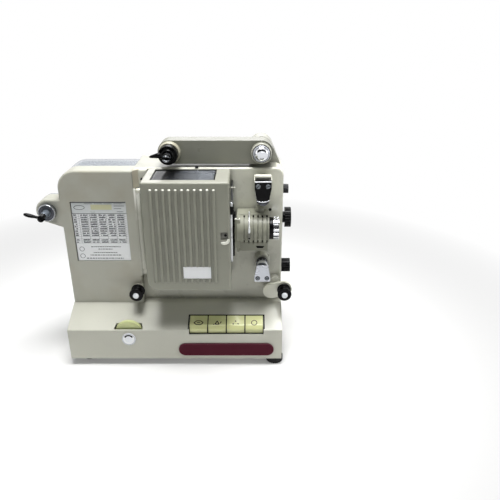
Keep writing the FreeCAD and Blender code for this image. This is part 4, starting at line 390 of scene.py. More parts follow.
for look, names in DRESS.items():
    for node_name in names.split():
        mesh = NODES[node_name].data
        mesh.materials.clear()
        mesh.materials.append(MATERIALS[look])
        mesh.shade_smooth()
        mesh.set_sharp_from_angle(angle=math.radians(28))


def paint(node_name, look, chosen):
    """Give another finish to the faces whose middle, in millimetres of the design, is chosen."""
    mesh = NODES[node_name].data
    mesh.materials.append(MATERIALS[look])
    for face in mesh.polygons:
        if chosen(face.center * 1000 - SHIFT):
            face.material_index = len(mesh.materials) - 1


def reach(point, u, v, axis="Y"):
    """Distance of a point from an axis through two coordinates."""
    pair = {"X": (point.y, point.z), "Y": (point.x, point.z), "Z": (point.x, point.y)}[axis]
    return math.hypot(pair[0] - u, pair[1] - v)


paint("supply_spindle", "black", lambda p: reach(p, *SUPPLY) > 5.0 and p.y < 44)
# Dark steel on the spindle's end: painted reflection, the chrome tip darker where it mirrors dark
# surroundings.
paint("supply_spindle", "dark_steel", lambda p: reach(p, *SUPPLY) < 5.0 and 22.3 < p.y < 35)
# Hinge column on the door: painted highlight, lighter towards its top.
paint("lamp_house_door", "column_highlight_cream", lambda p: reach(p, -36.5, 40.0, "Z") < 4.5 and p.x < -34.5)
# Top faces toned for the overhead light: lighter on the door and panel, darker on the casting;
# painted light and shade.
paint("lamp_house_door", "top_lighting_cream", lambda p: p.z > 218.9)
paint("main_casting", "top_lighting_cream", lambda p: p.z > 219.9)
paint("left_panel", "cream", lambda p: p.z > 219.4)
# Boss and top of the supply arm: painted light and painted shade.
paint("supply_arm", "boss_cream", lambda p: p.y < 49.8 and p.x < 20)
paint("supply_arm", "arm_top_cream", lambda p: p.z > 249.5 and p.y > 50.2)
# Groove between the panel and the hinge column: painted light, lighter and without corner
# darkening.
paint("left_panel", "groove_lit_cream", lambda p: p.x > -41.6 and p.z > 199)
paint("main_casting", "groove_lit_cream", lambda p: p.x < -35.7 and p.y < 48 and 199 < p.z < 219.8)
# Stop boss of the roller arm: painted highlight.
paint("main_casting", "highlight_cream", lambda p: reach(p, 116.8, 82.8) < 5.4 and p.y < 46.9)
paint("takeup_spindle", "black", lambda p: p.y < 17.5)
# Painted shadow: the lug below the upper keeper gets the dark door tone.
paint("main_casting", "door_cream",
      lambda p: abs(p.x - 98.5) < 6.5 and p.y < 46.9 and 172.2 < p.z < 177.4)
paint("left_roller_post", "white", lambda p: p.y < 18)
paint("roller_arm", "white", lambda p: p.y < 18)
paint("focus_ring", "black", lambda p: reach(p, *LENS, "X") < 12.45)
paint("lower_keeper", "cream", lambda p: p.y > 17.5)
paint("upper_sprocket", "dark_steel", lambda p: p.y < 18.2)
# Front of the lower sprocket darkened, part of its painted shade bands.
paint("lower_sprocket", "dark_steel", lambda p: p.y < 20)


# Shapes
def along(axis, centre, distance, radius=0.0, angle=0.0):
    """A point round an axis: centre is the two other coordinates, in order."""
    u = centre[0] + radius * math.cos(angle)
    v = centre[1] + radius * math.sin(angle)
    return {"X": (distance, u, v), "Y": (u, distance, v), "Z": (u, v, distance)}[axis]


def add_piece(name, made, looks, body, stands_for=(), angle=30.0):
    """Turn a bmesh into a piece that rides on a body."""
    bmesh.ops.remove_doubles(made, verts=made.verts, dist=1e-7)
    bmesh.ops.recalc_face_normals(made, faces=made.faces)
    mesh = bpy.data.meshes.new(name)
    made.to_mesh(mesh)
    made.free()
    for look in looks.split():
        mesh.materials.append(MATERIALS[look])
    mesh.shade_smooth()
    mesh.set_sharp_from_angle(angle=math.radians(angle))
    piece = new_object(name, mesh)
    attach(piece, body)
    if stands_for:
        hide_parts(*stands_for)
    return piece


def revolve(made, axis, centre, profile, steps=72):
    """Turn a profile of (distance, radius) pairs round an axis."""
    rings = []
    for distance, radius in profile:
        if radius <= 0:
            rings.append([made.verts.new(place(*along(axis, centre, distance)))])
        else:
            rings.append([made.verts.new(place(*along(axis, centre, distance, radius,
                                                      math.tau * step / steps)))
                          for step in range(steps)])
    for low, high in zip(rings, rings[1:]):
        for step in range(steps):
            corners = [low[step % len(low)], low[(step + 1) % len(low)],
                       high[(step + 1) % len(high)], high[step % len(high)]]
            corners = [corner for index, corner in enumerate(corners)
                       if corner not in corners[:index]]
            if len(corners) > 2:
                made.faces.new(corners)


def soft_profile(points, radius=0.35, steps=3):
    """Round the corners of a profile of (distance, radius) pairs."""
    result = [points[0]]
    for before, corner, after in zip(points, points[1:], points[2:]):
        here = Vector(corner)
        back = Vector(before) - here
        ahead = Vector(after) - here
        trim = min(radius, back.length * 0.45, ahead.length * 0.45)
        if trim < 1e-4:
            result.append(corner)
            continue
        first = here + back.normalized() * trim
        last = here + ahead.normalized() * trim
        for step in range(steps + 1):
            share = step / steps
            point = first.lerp(here, share).lerp(here.lerp(last, share), share)
            result.append((point.x, point.y))
    result.append(points[-1])
    return result


def lathe(name, centre, profile, looks, body, stands_for=(), radius=0.35, axis="Y"):
    """A turned piece whose profile has its corners rounded."""
    made = bmesh.new()
    revolve(made, axis, centre, soft_profile(profile, radius))
    return add_piece(name, made, looks, body, stands_for)


def extrude(made, axis, outline, low, high, bevel=0.0, material=0):
    """A plate with a flat outline, and rounded edges at both faces."""
    def point(u, v, distance):
        return place(*{"X": (distance, u, v), "Y": (u, distance, v), "Z": (u, v, distance)}[axis])
    bottom = [made.verts.new(point(u, v, low)) for u, v in outline]
    top = [made.verts.new(point(u, v, high)) for u, v in outline]
    faces = [made.faces.new(bottom), made.faces.new(list(reversed(top)))]
    rims = list(faces[0].edges) + list(faces[1].edges)
    for index in range(len(outline)):
        following = (index + 1) % len(outline)
        faces.append(made.faces.new([bottom[index], top[index], top[following], bottom[following]]))
    for face in faces:
        face.material_index = material
    if bevel:
        bmesh.ops.bevel(made, geom=rims, offset=bevel / 1000, segments=3, profile=0.5,
                        affect="EDGES", material=-1)


def plate_piece(name, axis, outline, low, high, looks, body, bevel=0.3):
    """A piece of one flat outline between two distances along an axis."""
    made = bmesh.new()
    extrude(made, axis, outline, low, high, bevel)
    return add_piece(name, made, looks, body)


def rectangle(low_u, high_u, low_v, high_v, radius=0.0, steps=4):
    """An outline with square or round corners."""
    if not radius:
        return [(low_u, low_v), (high_u, low_v), (high_u, high_v), (low_u, high_v)]
    outline = []
    for centre_u, centre_v, start in ((high_u - radius, low_v + radius, -90),
                                      (high_u - radius, high_v - radius, 0),
                                      (low_u + radius, high_v - radius, 90),
                                      (low_u + radius, low_v + radius, 180)):
        for step in range(steps + 1):
            angle = math.radians(start + 90 * step / steps)
            outline.append((centre_u + radius * math.cos(angle),
                            centre_v + radius * math.sin(angle)))
    return outline


def flat_marks(name, shapes, origin, looks, body, up=(0.0, 0.0, 1.0)):
    """Thin printed shapes on a flat face: polygons, x across and then up, from the origin."""
    made = bmesh.new()
    for shape in shapes:
        made.faces.new([made.verts.new(place(*(Vector(origin) + Vector((u, 0.0, 0.0))
                                               + Vector(up) * v)))
                        for u, v in shape])
    return add_piece(name, made, looks, body)


def hole(name, x, z, y, radius, body):
    """A small drilled hole whose dark floor is painted shade, with a fine rim, in a face that looks
    to the front.
    """
    made = bmesh.new()
    revolve(made, "Y", (x, z), [(y + 0.02, radius * 1.25), (y - 0.12, radius * 1.12),
                                (y - 0.08, radius), (y - 0.02, radius * 0.9), (y - 0.02, 0.0)], 24)
    return add_piece(name, made, "hole", body)


def screw(name, x, z, y, radius, body, slot_angle, height):
    """A flat-headed screw whose slot is a dark bar of painted shade; it faces the front."""
    made = bmesh.new()
    profile = [(y, radius), (y - height * 0.6, radius), (y - height, radius * 0.8),
               (y - height, 0.0)]
    revolve(made, "Y", (x, z), profile, 32)
    turn = math.radians(slot_angle)
    bar = []
    for along_bar, across in ((-0.8, -0.16), (0.8, -0.16), (0.8, 0.16), (-0.8, 0.16)):
        u, v = along_bar * radius, across * radius
        bar.append((x + u * math.cos(turn) - v * math.sin(turn),
                    z + u * math.sin(turn) + v * math.cos(turn)))
    extrude(made, "Y", bar, y - height - 0.03, y - height + 0.2, material=1)
    return add_piece(name, made, "screw_grey hole", body)


def loft(made, rings):
    """Skin a row of closed rings, each a list of points in millimetres, with closed ends."""
    rows = [[made.verts.new(place(*point)) for point in ring_points] for ring_points in rings]
    for low, high in zip(rows, rows[1:]):
        for step in range(len(low)):
            following = (step + 1) % len(low)
            made.faces.new((low[step], low[following], high[following], high[step]))
    for row in (rows[0], rows[-1]):
        made.faces.new(row)


def ring_marks(u, v, outer, inner, steps=24, start=0.0, sweep=360.0):
    """A printed ring, or an arc of it, as four-cornered shapes."""
    marks = []
    for step in range(steps):
        first = math.radians(start + sweep * step / steps)
        last = math.radians(start + sweep * (step + 1) / steps)
        marks.append([(u + r * math.cos(t), v + r * math.sin(t))
                      for r, t in ((outer, first), (outer, last), (inner, last), (inner, first))])
    return marks


def stroke(first, last, width=0.9):
    """A printed line between two points."""
    direction = (Vector(last) - Vector(first)).normalized() * width / 2
    side = Vector((-direction.y, direction.x))
    return [tuple(Vector(first) - side), tuple(Vector(last) - side), tuple(Vector(last) + side),
            tuple(Vector(first) + side)]


def outline_marks(points):
    """A closed outline in printed lines."""
    return [stroke(first, last) for first, last in zip(points, points[1:] + points[:1])]


# Film rollers with rounded flanges, and their end caps
ROLLER = [(18.0, 1.9), (18.0, 6.6), (18.25, 7.6), (19.0, 8.15), (20.0, 8.15), (20.6, 7.4),
          (21.0, 5.8), (22.0, 5.2), (28.0, 5.2), (29.0, 5.8), (29.4, 7.4), (30.0, 8.15),
          (31.2, 8.15), (32.0, 7.4), (32.0, 1.9)]
for side, x, z, carrier in (("left", -45.2, 75.3, "chassis"), ("right", 127.8, 75.9, "roller_arm")):
    lathe(side + "_film_roller", (x, z), ROLLER, "black", side + "_roller",
          (side + "_roller",), radius=0.5)
    lathe(side + "_roller_cap", (x, z), [(16.6, 2.95), (16.2, 2.9), (15.9, 2.4), (15.8, 1.2),
                                         (15.8, 0.0)], "white", carrier, radius=0.3)


# Folding latches
def latch(name, x, z, tilt, stations, body):
    """A paddle that points left; stations are (out, y, half height, half depth, rise)."""
    made = bmesh.new()
    turn = math.radians(tilt)
    rings = []
    for out, y, high, deep, rise in stations:
        ring_points = []
        for step in range(16):
            angle = math.tau * step / 16
            across = high * math.cos(angle) + rise
            ring_points.append((x - out * math.cos(turn) + across * math.sin(turn),
                                y + deep * math.sin(angle),
                                z + out * math.sin(turn) + across * math.cos(turn)))
        rings.append(ring_points)
    loft(made, rings)
    return add_piece(name, made, "black", body, (body,), angle=60)


latch("takeup_paddle", *TAKEUP, 20.0, [(-2.9, 15.5, 0.6, 1.0, 0.4), (-2.5, 15.4, 1.4, 2.2, 0.2),
                                       (0.5, 15.0, 2.1, 2.6, -0.5), (3.5, 14.0, 1.6, 2.3, 0),
                                       (6.0, 13.2, 1.4, 2.2, 0), (9.0, 12.4, 1.9, 2.6, 0),
                                       (12.5, 11.8, 2.1, 2.9, 0), (15.5, 11.4, 1.9, 2.5, 0),
                                       (17.6, 11.2, 1.2, 1.5, 0), (18.2, 11.2, 0.3, 0.4, 0)],
      "takeup_latch")
latch("supply_paddle", *SUPPLY, 5.0, [(-2.3, 26.0, 0.6, 1.0, 0), (-2.0, 26.0, 1.3, 2.2, 0),
                                      (1.0, 26.0, 1.35, 2.5, 0), (4.2, 25.8, 1.35, 2.4, 0.1),
                                      (6.0, 25.6, 2.7, 2.6, 1.4), (8.2, 25.4, 3.1, 2.8, 2.0),
                                      (10.5, 25.2, 2.7, 2.8, 1.5), (13.0, 25.0, 2.1, 2.8, 0.9),
                                      (15.5, 24.8, 1.6, 2.6, 0.3), (17.2, 24.8, 1.1, 2.2, 0.0),
                                      (17.7, 24.8, 0.5, 1.2, -0.1)], "supply_latch")

# Take-up collar: a dished face with a bright rim round the spindle
lathe("collar_rim", TAKEUP, [(33.0, 9.72), (31.0, 9.8), (30.3, 9.6), (30.0, 9.1), (30.3, 8.6),
                             (31.0, 8.4)], "steel", "chassis", radius=0.3)
lathe("collar_dish", TAKEUP, [(30.95, 8.4), (30.7, 7.0), (30.5, 5.4), (30.9, 4.95)], "dark_steel",
      "chassis", radius=0.3)

# Supply disc: a raised rim and a stepped hub round the spindle
lathe("supply_disc_rim", SUPPLY, [(35.2, 10.35), (34.6, 10.2), (34.3, 9.6), (34.5, 8.6),
                                  (35.1, 8.2)], "black", "supply_spindle", radius=0.2)
lathe("supply_hub_step", SUPPLY, [(35.1, 7.4), (33.2, 7.1), (32.2, 6.4), (32.0, 5.4), (32.6, 4.1)],
      "black", "supply_spindle", radius=0.3)

# Supply tip: lighter plates above and below the slot as painted highlights of the chrome, with a
# dark rim
tip_highlights = bmesh.new()
for side, end in ((1, 1), (1, -1), (-1, 1), (-1, -1)):
    arc = [math.radians(26.0 + 56.0 * step / 8) for step in range(9)]
    segment = [(4.3 * math.cos(t), 4.3 * math.sin(t)) for t in arc] + [(0.6, 1.8)]
    extrude(tip_highlights, "Y", [(SUPPLY[0] + side * u, SUPPLY[1] + end * v) for u, v in segment], 21.4,
            22.3, bevel=0.2)
add_piece("supply_tip_highlights", tip_highlights, "screw_grey", "supply_spindle")
tip_rim = bmesh.new()
for start in (24.0, 204.0):
    angles = [math.radians(start + 132.0 * step / 12) for step in range(13)]
    corners = ([(5.3 * math.cos(t), 5.3 * math.sin(t)) for t in angles] +
               [(4.3 * math.cos(t), 4.3 * math.sin(t)) for t in reversed(angles)])
    extrude(tip_rim, "Y", [(SUPPLY[0] + u, SUPPLY[1] + v) for u, v in corners], 21.3, 24.5,
            bevel=0.3)
add_piece("supply_tip_rim", tip_rim, "black", "supply_spindle")

# Arm pivot: stepped collars round a domed nut
lathe("pivot_outer_ring", PIVOT, [(44.1, 11.4), (43.2, 11.2), (42.6, 10.6), (42.6, 9.9),
                                  (43.2, 9.5), (43.9, 9.4)], "cream", "supply_arm", radius=0.3)
lathe("pivot_inner_ring", PIVOT, [(43.9, 9.3), (42.0, 9.2), (41.2, 8.9), (40.9, 8.2), (41.2, 7.6)],
      "silver", "chassis", radius=0.3)
lathe("pivot_dome_nut", PIVOT, [(41.6, 7.5), (40.4, 7.45), (39.4, 6.9), (38.6, 5.8), (38.05, 4.2),
                                (37.8, 2.2), (37.7, 0.0)], "chrome", "chassis", radius=0.4)


# Keepers: a hooded body, a shoe with two screws, and a curved lip
def mirrored(half, middle):
    """A closed outline from its right half, given from the top down as (offset, height)."""
    return [(middle + u, v) for u, v in half] + [(middle - u, v) for u, v in reversed(half)]


def lip_piece(name, middle, z, half, drop, low, high, thick, looks, body):
    """A strip that hangs in a shallow curve between two points."""
    upper, lower = [], []
    for step in range(13):
        share = step / 6 - 1
        height = z - drop * (1 - share * share)
        upper.append((middle + half * share, height))
        lower.append((middle + half * share, height - thick))
    plate_piece(name, "Y", upper + list(reversed(lower)), low, high, looks, body, bevel=0.2)


SHOE = [(8.6, 212.5), (9.0, 212.0), (8.9, 206.2), (8.3, 203.4), (7.2, 200.8), (6.6, 198.4),
        (6.4, 192.6)]
plate_piece("upper_shoe", "Y", mirrored(SHOE, KEEPER_X), 15.25, 15.85, "black", "upper_keeper",
            bevel=0.25)
plate_piece("upper_shoe_edge", "Z", rectangle(KEEPER_X - 8.9, KEEPER_X + 8.9, 15.2, 16.6, 0.4),
            212.5, 213.7, "wire", "upper_keeper", bevel=0.25)
plate_piece("upper_hood", "Z", rectangle(92.5, 110.5, 16.6, 28.0, 0.6), 206.0, 214.2, "black",
            "upper_keeper", bevel=0.3)
plate_piece("upper_cap", "Y", rectangle(91.9, 111.1, 205.0, 216.6, 1.8), 27.2, 34.8,
            "casting_cream", "upper_keeper", bevel=0.9)
plate_piece("upper_cap_left", "X", rectangle(17.0, 28.0, 206.0, 215.0, 0.8), 91.9, 92.9,
            "casting_cream", "upper_keeper")
plate_piece("upper_cap_right", "X", rectangle(17.0, 28.0, 206.0, 215.0, 0.8), 110.1, 111.1,
            "casting_cream", "upper_keeper")
lip_piece("upper_lip", KEEPER_X - 0.4, 193.0, 6.6, 1.7, 15.0, 17.8, 1.1, "chrome", "upper_keeper")
lip_piece("upper_lip_shade", KEEPER_X - 0.4, 191.4, 6.2, 0.6, 16.0, 17.8, 1.9, "matt_black",
          "upper_keeper")
plate_piece("lower_backing", "Y", [(92.5, 94.8), (110.5, 94.8), (110.5, 100.6), (107.9, 115.0),
                                   (95.1, 115.0), (92.5, 100.6)], 16.6, 17.9, "silver",
            "lower_keeper", bevel=0.2)
SCREW_SIDES = (("left", -SCREW_SHIFT, 45.0), ("right", SCREW_SHIFT, 20.0))
for keeper, screw_z, front, size in (("upper", 208.3, 15.3, 2.5), ("lower", 99.0, 15.72, 1.9)):
    for side, shift, slot_angle in SCREW_SIDES:
        screw("%s_screw_%s" % (keeper, side), KEEPER_X + shift, screw_z, front, size,
              keeper + "_keeper", slot_angle, 0.6)
# Dark rings round the lower screws: painted shade.
for side, shift, _ in SCREW_SIDES:
    lathe("lower_seat_" + side, (KEEPER_X + shift, 99.0), [(15.9, 2.7), (15.7, 2.65), (15.7, 0.0)],
          "hole", "lower_keeper", radius=0.1)

# Needle lever over the lens barrel
needle = bmesh.new()
NEEDLE = [(3, 0.3), (4, 1.0), (9, 1.25), (16, 1.15), (26, 0.85), (38, 0.62), (52, 0.5), (70, 0.48),
          (90, 0.5), (98, 0.6), (102, 1.0), (108, 1.05), (111, 0.4)]
needle_rings = []
for degrees, thick in NEEDLE:
    angle = math.radians(degrees)
    middle = 17.3 + 0.4 * math.sin(max(0.0, angle))
    ring_points = []
    for step in range(12):
        out = middle + thick * math.sin(math.tau * step / 12)
        ring_points.append((NEEDLE_X + thick * math.cos(math.tau * step / 12),
                            LENS[0] - out * math.cos(angle), LENS[1] + out * math.sin(angle)))
    needle_rings.append(ring_points)
loft(needle, needle_rings)
add_piece("lens_needle", needle, "wire", "mount_lever", ("mount_lever",), angle=60)
# Root of the needle: a dark cream plate, painted shade, with its dark pivot hole.
root = bmesh.new()
root_rings = []
for degrees, half in ((-31, 0.7), (-29, 1.5), (-20, 1.7), (-8, 1.4), (6, 0.9)):
    angle = math.radians(degrees)
    root_rings.append([(NEEDLE_X + side * half, LENS[0] - out * math.cos(angle),
                        LENS[1] + out * math.sin(angle))
                       for side, out in ((-1, 15.9), (1, 15.9), (1, 17.0), (-1, 17.0))])
loft(root, root_rings)
add_piece("needle_root", root, "painted_shade_cream", "mount_lever")
lathe("needle_pivot", (NEEDLE_X, 151.2), [(8.75, 0.0), (8.75, 1.0), (9.8, 1.0), (9.8, 0.0)], "hole",
      "mount_lever", radius=0.1)

# Lens mount: painted shade at the ends of its grooves, a flange at the left with a painted
# highlight on top, and a painted shadow below
groove_end_shade = bmesh.new()
for step in range(GROOVES):
    x = GROOVE_START + GROOVE_PITCH * step
    revolve(groove_end_shade, "Z", (x, 22.6), [(171.6, 0.0), (171.6, 1.1), (172.75, 0.95), (172.8, 0.0)],
            12)
    revolve(groove_end_shade, "Z", (x, 10.7), [(146.9, 0.0), (147.0, 0.7), (148.0, 0.7), (148.1, 0.0)],
            10)
add_piece("groove_end_shade", groove_end_shade, "hole", "lens_mount")
plate_piece("mount_flange", "X", rectangle(13.2, 24.0, 138.0, 171.4, 1.0), 70.9, 76.6,
            "mount_cream", "lens_mount", bevel=0.4)
# Painted highlight along the top of the flange.
plate_piece("flange_top", "Z", rectangle(70.9, 76.6, 13.2, 18.0, 0.8), 171.2, 172.2, "highlight_cream",
            "lens_mount", bevel=0.4)
# Painted shadow: a dark crescent under the lens mount.
plate_piece("mount_painted_shadow", "Y", [(94.0, 138.6), (103.4, 138.6), (101.8, 136.4), (95.6, 136.4)], 16.9,
            17.3, "hole", "lens_mount", bevel=0.05)

# Gate: catch block, cap, upper film guide and its spring wire
plate_piece("gate_catch", "Z", rectangle(66.3, 69.2, 12.4, 15.0, 0.4), 177.6, 186.6, "black",
            "chassis", bevel=0.3)
plate_piece("gate_cap", "Z", rectangle(66.3, 68.9, 12.4, 15.0, 0.8), 186.7, 190.8, "white",
            "chassis", bevel=0.7)
plate_piece("gate_spring", "Z", rectangle(68.4, 70.6, 13.8, 15.6), 128.0, 177.0, "hole", "chassis",
            bevel=0.1)
plate_piece("upper_film_guide", "X", rectangle(19.0, 46.6, 191.3, 206.0, 1.2), 67.0, 68.6,
            "dark_steel", "chassis")
lathe("guide_bar", (18.4, 206.2), [(66.2, 0.0), (66.2, 0.9), (71.9, 0.9), (71.9, 0.0)], "cream",
      "chassis", radius=0.3, axis="X")
wire = bmesh.new()
revolve(wire, "Z", (66.9, 17.6), [(190.6, 0.0), (190.6, 0.45), (207.6, 0.45), (207.6, 0.0)], 12)
add_piece("guide_wire", wire, "cream", "chassis")
# Bright strip on the gate's front edge: painted highlight standing for the chrome's reflection.
plate_piece("gate_edge_highlight", "Z", rectangle(65.9, 68.5, 12.9, 15.05, 0.6), 121.5, 177.4, "wire",
            "chassis", bevel=0.4)

# Lower sprocket: a bright band and a darker band on the drum, painted highlight and painted shade
# standing for its reflections
lathe("lower_sprocket_highlight_band", LOWER_SPROCKET, [(19.6, 6.0), (19.6, 6.32), (24.6, 6.32),
                                               (24.6, 6.0)], "wire", "lower_sprocket", radius=0.1)
lathe("lower_sprocket_shade_band", LOWER_SPROCKET, [(27.2, 6.0), (27.2, 6.4), (33.4, 6.4), (33.4, 6.0)],
      "matt_black", "lower_sprocket", radius=0.1)

# Drilled holes, their dark floors painted shade
lathe("panel_hole", (-31.9, 209.2), [(40.5, 0.0), (40.5, 1.2), (39.1, 1.2), (39.0, 0.0)], "hole",
      "chassis", radius=0.1)
hole("casting_hole", 110.3, 171.0, 47.0, 1.5, "chassis")
hole("door_pip", -16.6, 105.7, -6.0, 0.6, "lamp_door")
hole("latch_eye", 61.4, 160.6, -4.78, 1.2, "lamp_door")

# Door latch: the recess floor in painted shade, and a raised lip below it in painted highlight
plate_piece("latch_floor", "Y", rectangle(56.7, 63.7, 156.4, 164.2, 3.0), -4.75, -4.55,
            "painted_shade_cream", "lamp_door", bevel=0.05)
lip = bmesh.new()
lip_rings = []
LIP = [(56.4, 152.6, 0.8), (57.6, 152.2, 1.6), (59.6, 152.0, 2.0), (61.8, 152.2, 2.0),
       (63.6, 153.2, 1.9), (64.5, 154.9, 1.6), (64.7, 156.8, 0.9)]
for index, (x, z, thick) in enumerate(LIP):
    before, after = LIP[max(0, index - 1)], LIP[min(len(LIP) - 1, index + 1)]
    tangent = Vector((after[0] - before[0], after[1] - before[1])).normalized()
    lip_rings.append([(x - tangent.y * thick * math.cos(math.tau * turn / 12),
                       -5.6 - 0.95 * thick * math.sin(math.tau * turn / 12),
                       z + tangent.x * thick * math.cos(math.tau * turn / 12))
                      for turn in range(12)])
loft(lip, lip_rings)
add_piece("latch_lip", lip, "highlight_cream", "lamp_door", angle=60)

# Rib tips: painted highlights where the domed tops catch the light
RIB_TIP = [(210.0, 0.0), (210.0, 1.0), (210.6, 1.55), (211.3, 1.6), (211.9, 1.2), (212.2, 0.6),
           (212.3, 0.0)]
tips = bmesh.new()
for step in range(RIBS):
    revolve(tips, "Z", (RIB_START + RIB_PITCH * step, -6.1), RIB_TIP, 20)
add_piece("rib_tip_highlights", tips, "highlight_cream", "lamp_door", angle=70)

# Soft fillet between the left panel and the hinge column, in the column's painted highlight
FILLET = [(-41.32, 36.05), (-39.6, 36.02), (-39.2, 36.25), (-39.35, 36.6), (-39.65, 36.85),
          (-40.35, 37.78), (-40.8, 38.85), (-40.95, 40.0), (-40.95, 46.5), (-41.32, 46.5)]
plate_piece("hinge_fillet", "Z", FILLET, 92.0, 199.6, "column_highlight_cream", "chassis", bevel=0.05)

# Data plate: a header band, a table of small marks and a plain foot
HEADER_FACE = (0.0, 37.15, 0.0)
INK_FACE = (0.0, 37.10, 0.0)
flat_marks("chart_header", [rectangle(CHART_LEFT, CHART_RIGHT, 169.8, 183.5)], HEADER_FACE, "band",
           "chassis")
flat_marks("chart_strip", [rectangle(-91.0, -67.5, 174.4, 180.4)], INK_FACE, "yellow", "chassis")
oval = []
for step in range(24):
    start, stop = math.tau * step / 24, math.tau * (step + 1) / 24
    oval.append([(-104.0 + a * math.cos(t), 177.0 + b * math.sin(t))
                 for a, b, t in ((6.2, 2.7, start), (6.2, 2.7, stop), (5.6, 2.2, stop),
                                 (5.6, 2.2, start))])
header_marks = oval + [rectangle(-98.0 + 11.0 * k, -89.0 + 11.0 * k, 181.3, 181.7)
                       for k in range(4)]
# The first two strips are painted shadow along the top and left edges of the plate's recess; the
# rest is print.
header_marks += [rectangle(CHART_LEFT, CHART_RIGHT, 182.5, 183.6),
                 rectangle(-113.05, -112.6, 111.6, 183.6), rectangle(-65.0, -53.5, 178.6, 179.1),
                 rectangle(-65.0, -57.0, 175.4, 175.9), rectangle(-62.0, -55.0, 172.0, 172.4),
                 rectangle(-112.9, -51.6, 169.6, 170.0)]
table = []
for row in range(13):
    z = 167.2 - row * ROW_PITCH
    if row != 10:
        for column in range(COLUMNS):
            left = -111.6 + column * COLUMN_PITCH + (0.0 if column == 0 else -2.4)
            width = 3.2 if column == 0 else 7.6
            cursor = left
            while cursor < left + width:
                length = random.uniform(0.5, 1.3)
                if random.random() < 0.93:
                    table.append(rectangle(cursor, min(cursor + length, left + width), z,
                                           z + random.uniform(1.0, 1.7)))
                cursor += length + 0.28
for row in range(14):
    z = 169.35 - row * ROW_PITCH
    table.append(rectangle(-112.6, -51.9, z - 0.06, z + 0.06))
for column in range(COLUMNS):
    x = column * COLUMN_PITCH
    table.append(rectangle(-105.8 + x, -105.65 + x, 133.4, 169.4))
foot_marks = []
for z, left, right in ((128.6, -96, -62), (125.6, -88, -72), (121.2, -94, -66), (118.0, -98, -62),
                       (114.0, -103, -60)):
    cursor = left
    while cursor < right:
        length = random.uniform(1.0, 3.4)
        foot_marks.append(rectangle(cursor, min(cursor + length, right), z, z + 0.9))
        cursor += length + 0.8
flat_marks("chart_marks", header_marks + table + foot_marks, INK_FACE, "ink", "chassis")
flat_marks("chart_rings", ring_marks(-107.0, 126.2, 2.9, 2.5, 20) +
           ring_marks(-107.0, 117.4, 2.9, 2.5, 20), INK_FACE, "ink", "chassis")

# Symbols on the keys
KEY_UP = (0.0, math.cos(SLOPE), math.sin(SLOPE))

SYMBOLS = [
    outline_marks([(-4.2, 0.0), (-1.8, 2.0), (1.8, 2.0), (4.2, 0.0), (1.8, -2.0), (-1.8, -2.0)])
    + [stroke((-1.6, 0), (1.6, 0))],
    outline_marks([(-1.9, -1.6), (1.9, -1.6), (0.0, 1.9)])
    + [stroke((2.6, -0.6), (3.8, 1.2)), stroke((-3.4, -1.7), (-2.6, -1.7))],
    ring_marks(-2.2, -1.2, 0.75, 0.0, 12) + ring_marks(2.2, -1.2, 0.75, 0.0, 12)
    + ring_marks(0.0, 1.7, 0.75, 0.0, 12),
    ring_marks(0.0, 0.0, 2.8, 2.1),
]
SYMBOL_SCALE, SYMBOL_Y, PRINT_LIFT = 1.3, 8.9, 0.06
for index, marks in enumerate(SYMBOLS):
    middle = (KEYS_START + KEY_PITCH * (index + 0.5), SYMBOL_Y - PRINT_LIFT * math.sin(SLOPE),
              deck(SYMBOL_Y) + 0.8 + PRINT_LIFT * math.cos(SLOPE))
    marks = [[(SYMBOL_SCALE * u, SYMBOL_SCALE * v) for u, v in mark] for mark in marks]
    key = "key_%d" % (index + 1)
    flat_marks(key.replace("key", "key_symbol"), marks, middle, "brown_ink", key, up=KEY_UP)

# Dark strips in the gaps round the keys and along the slot: painted shade
gap_shade = bmesh.new()
SEAM = [(2.0, 33.9), (2.0, 38.7), (3.1, 40.25), (17.7, 47.15), (17.7, 33.9)]
for step in range(KEY_COUNT + 1):
    inset = {0: 0.35, KEY_COUNT: -0.35}.get(step, 0.0)
    middle = KEYS_START + KEY_PITCH * step + inset
    extrude(gap_shade, "X", SEAM, middle - 0.5, middle + 0.5)
extrude(gap_shade, "Y", rectangle(15.9, 103.6, 44.0, 47.3), 17.95, 18.35)
extrude(gap_shade, "Y", rectangle(15.9, 103.6, 33.42, 34.0), 1.6, 2.9)
for low_x, high_x, low_y, high_y in ((14.9, 104.7, 18.35, 19.8), (14.9, 16.0, 1.6, 18.35),
                                     (103.5, 104.7, 1.6, 18.35)):
    ends = []
    for y in (low_y, high_y):
        low, high = deck(y) - 0.3, deck(y) + 0.25
        ends.append([(low_x, y, low), (high_x, y, low), (high_x, y, high), (low_x, y, high)])
    loft(gap_shade, ends)
add_piece("key_seams", gap_shade, "hole", "chassis")

# Mark disc on the front: a rim, a dark arc and a pale button
lathe("mark_rim", MARK, [(-0.78, 7.9), (-1.05, 7.7), (-1.1, 7.2), (-0.95, 6.9), (-0.8, 6.8)],
      "silver", "chassis", radius=0.1)
lathe("mark_button", MARK, [(-0.8, 4.1), (-1.2, 3.9), (-1.35, 3.0), (-1.4, 0.0)], "white",
      "chassis")
flat_marks("mark_arc", ring_marks(0.0, 0.0, 6.0, 4.2, 20, 30.0, 120.0), (MARK[0], -0.86, MARK[1]),
           "hole", "chassis")


# Bright edge of the long plate
def border(inset):
    """The long plate's outline, set in from its edge."""
    radius = 8.2 - inset
    return [(middle + radius * math.cos(angle), 13.2 + radius * math.sin(angle))
            for middle, start in ((11.7, 90), (107.3, -90))
            for angle in (math.radians(start + 180 * step / 24) for step in range(25))]


edge = bmesh.new()
outer, inner = border(0.0), border(0.35)
for step in range(len(outer)):
    following = (step + 1) % len(outer)
    edge.faces.new([edge.verts.new(place(u, -1.23, v))
                    for u, v in (outer[step], outer[following], inner[following], inner[step])])
add_piece("plate_border", edge, "maroon_rim", "chassis")

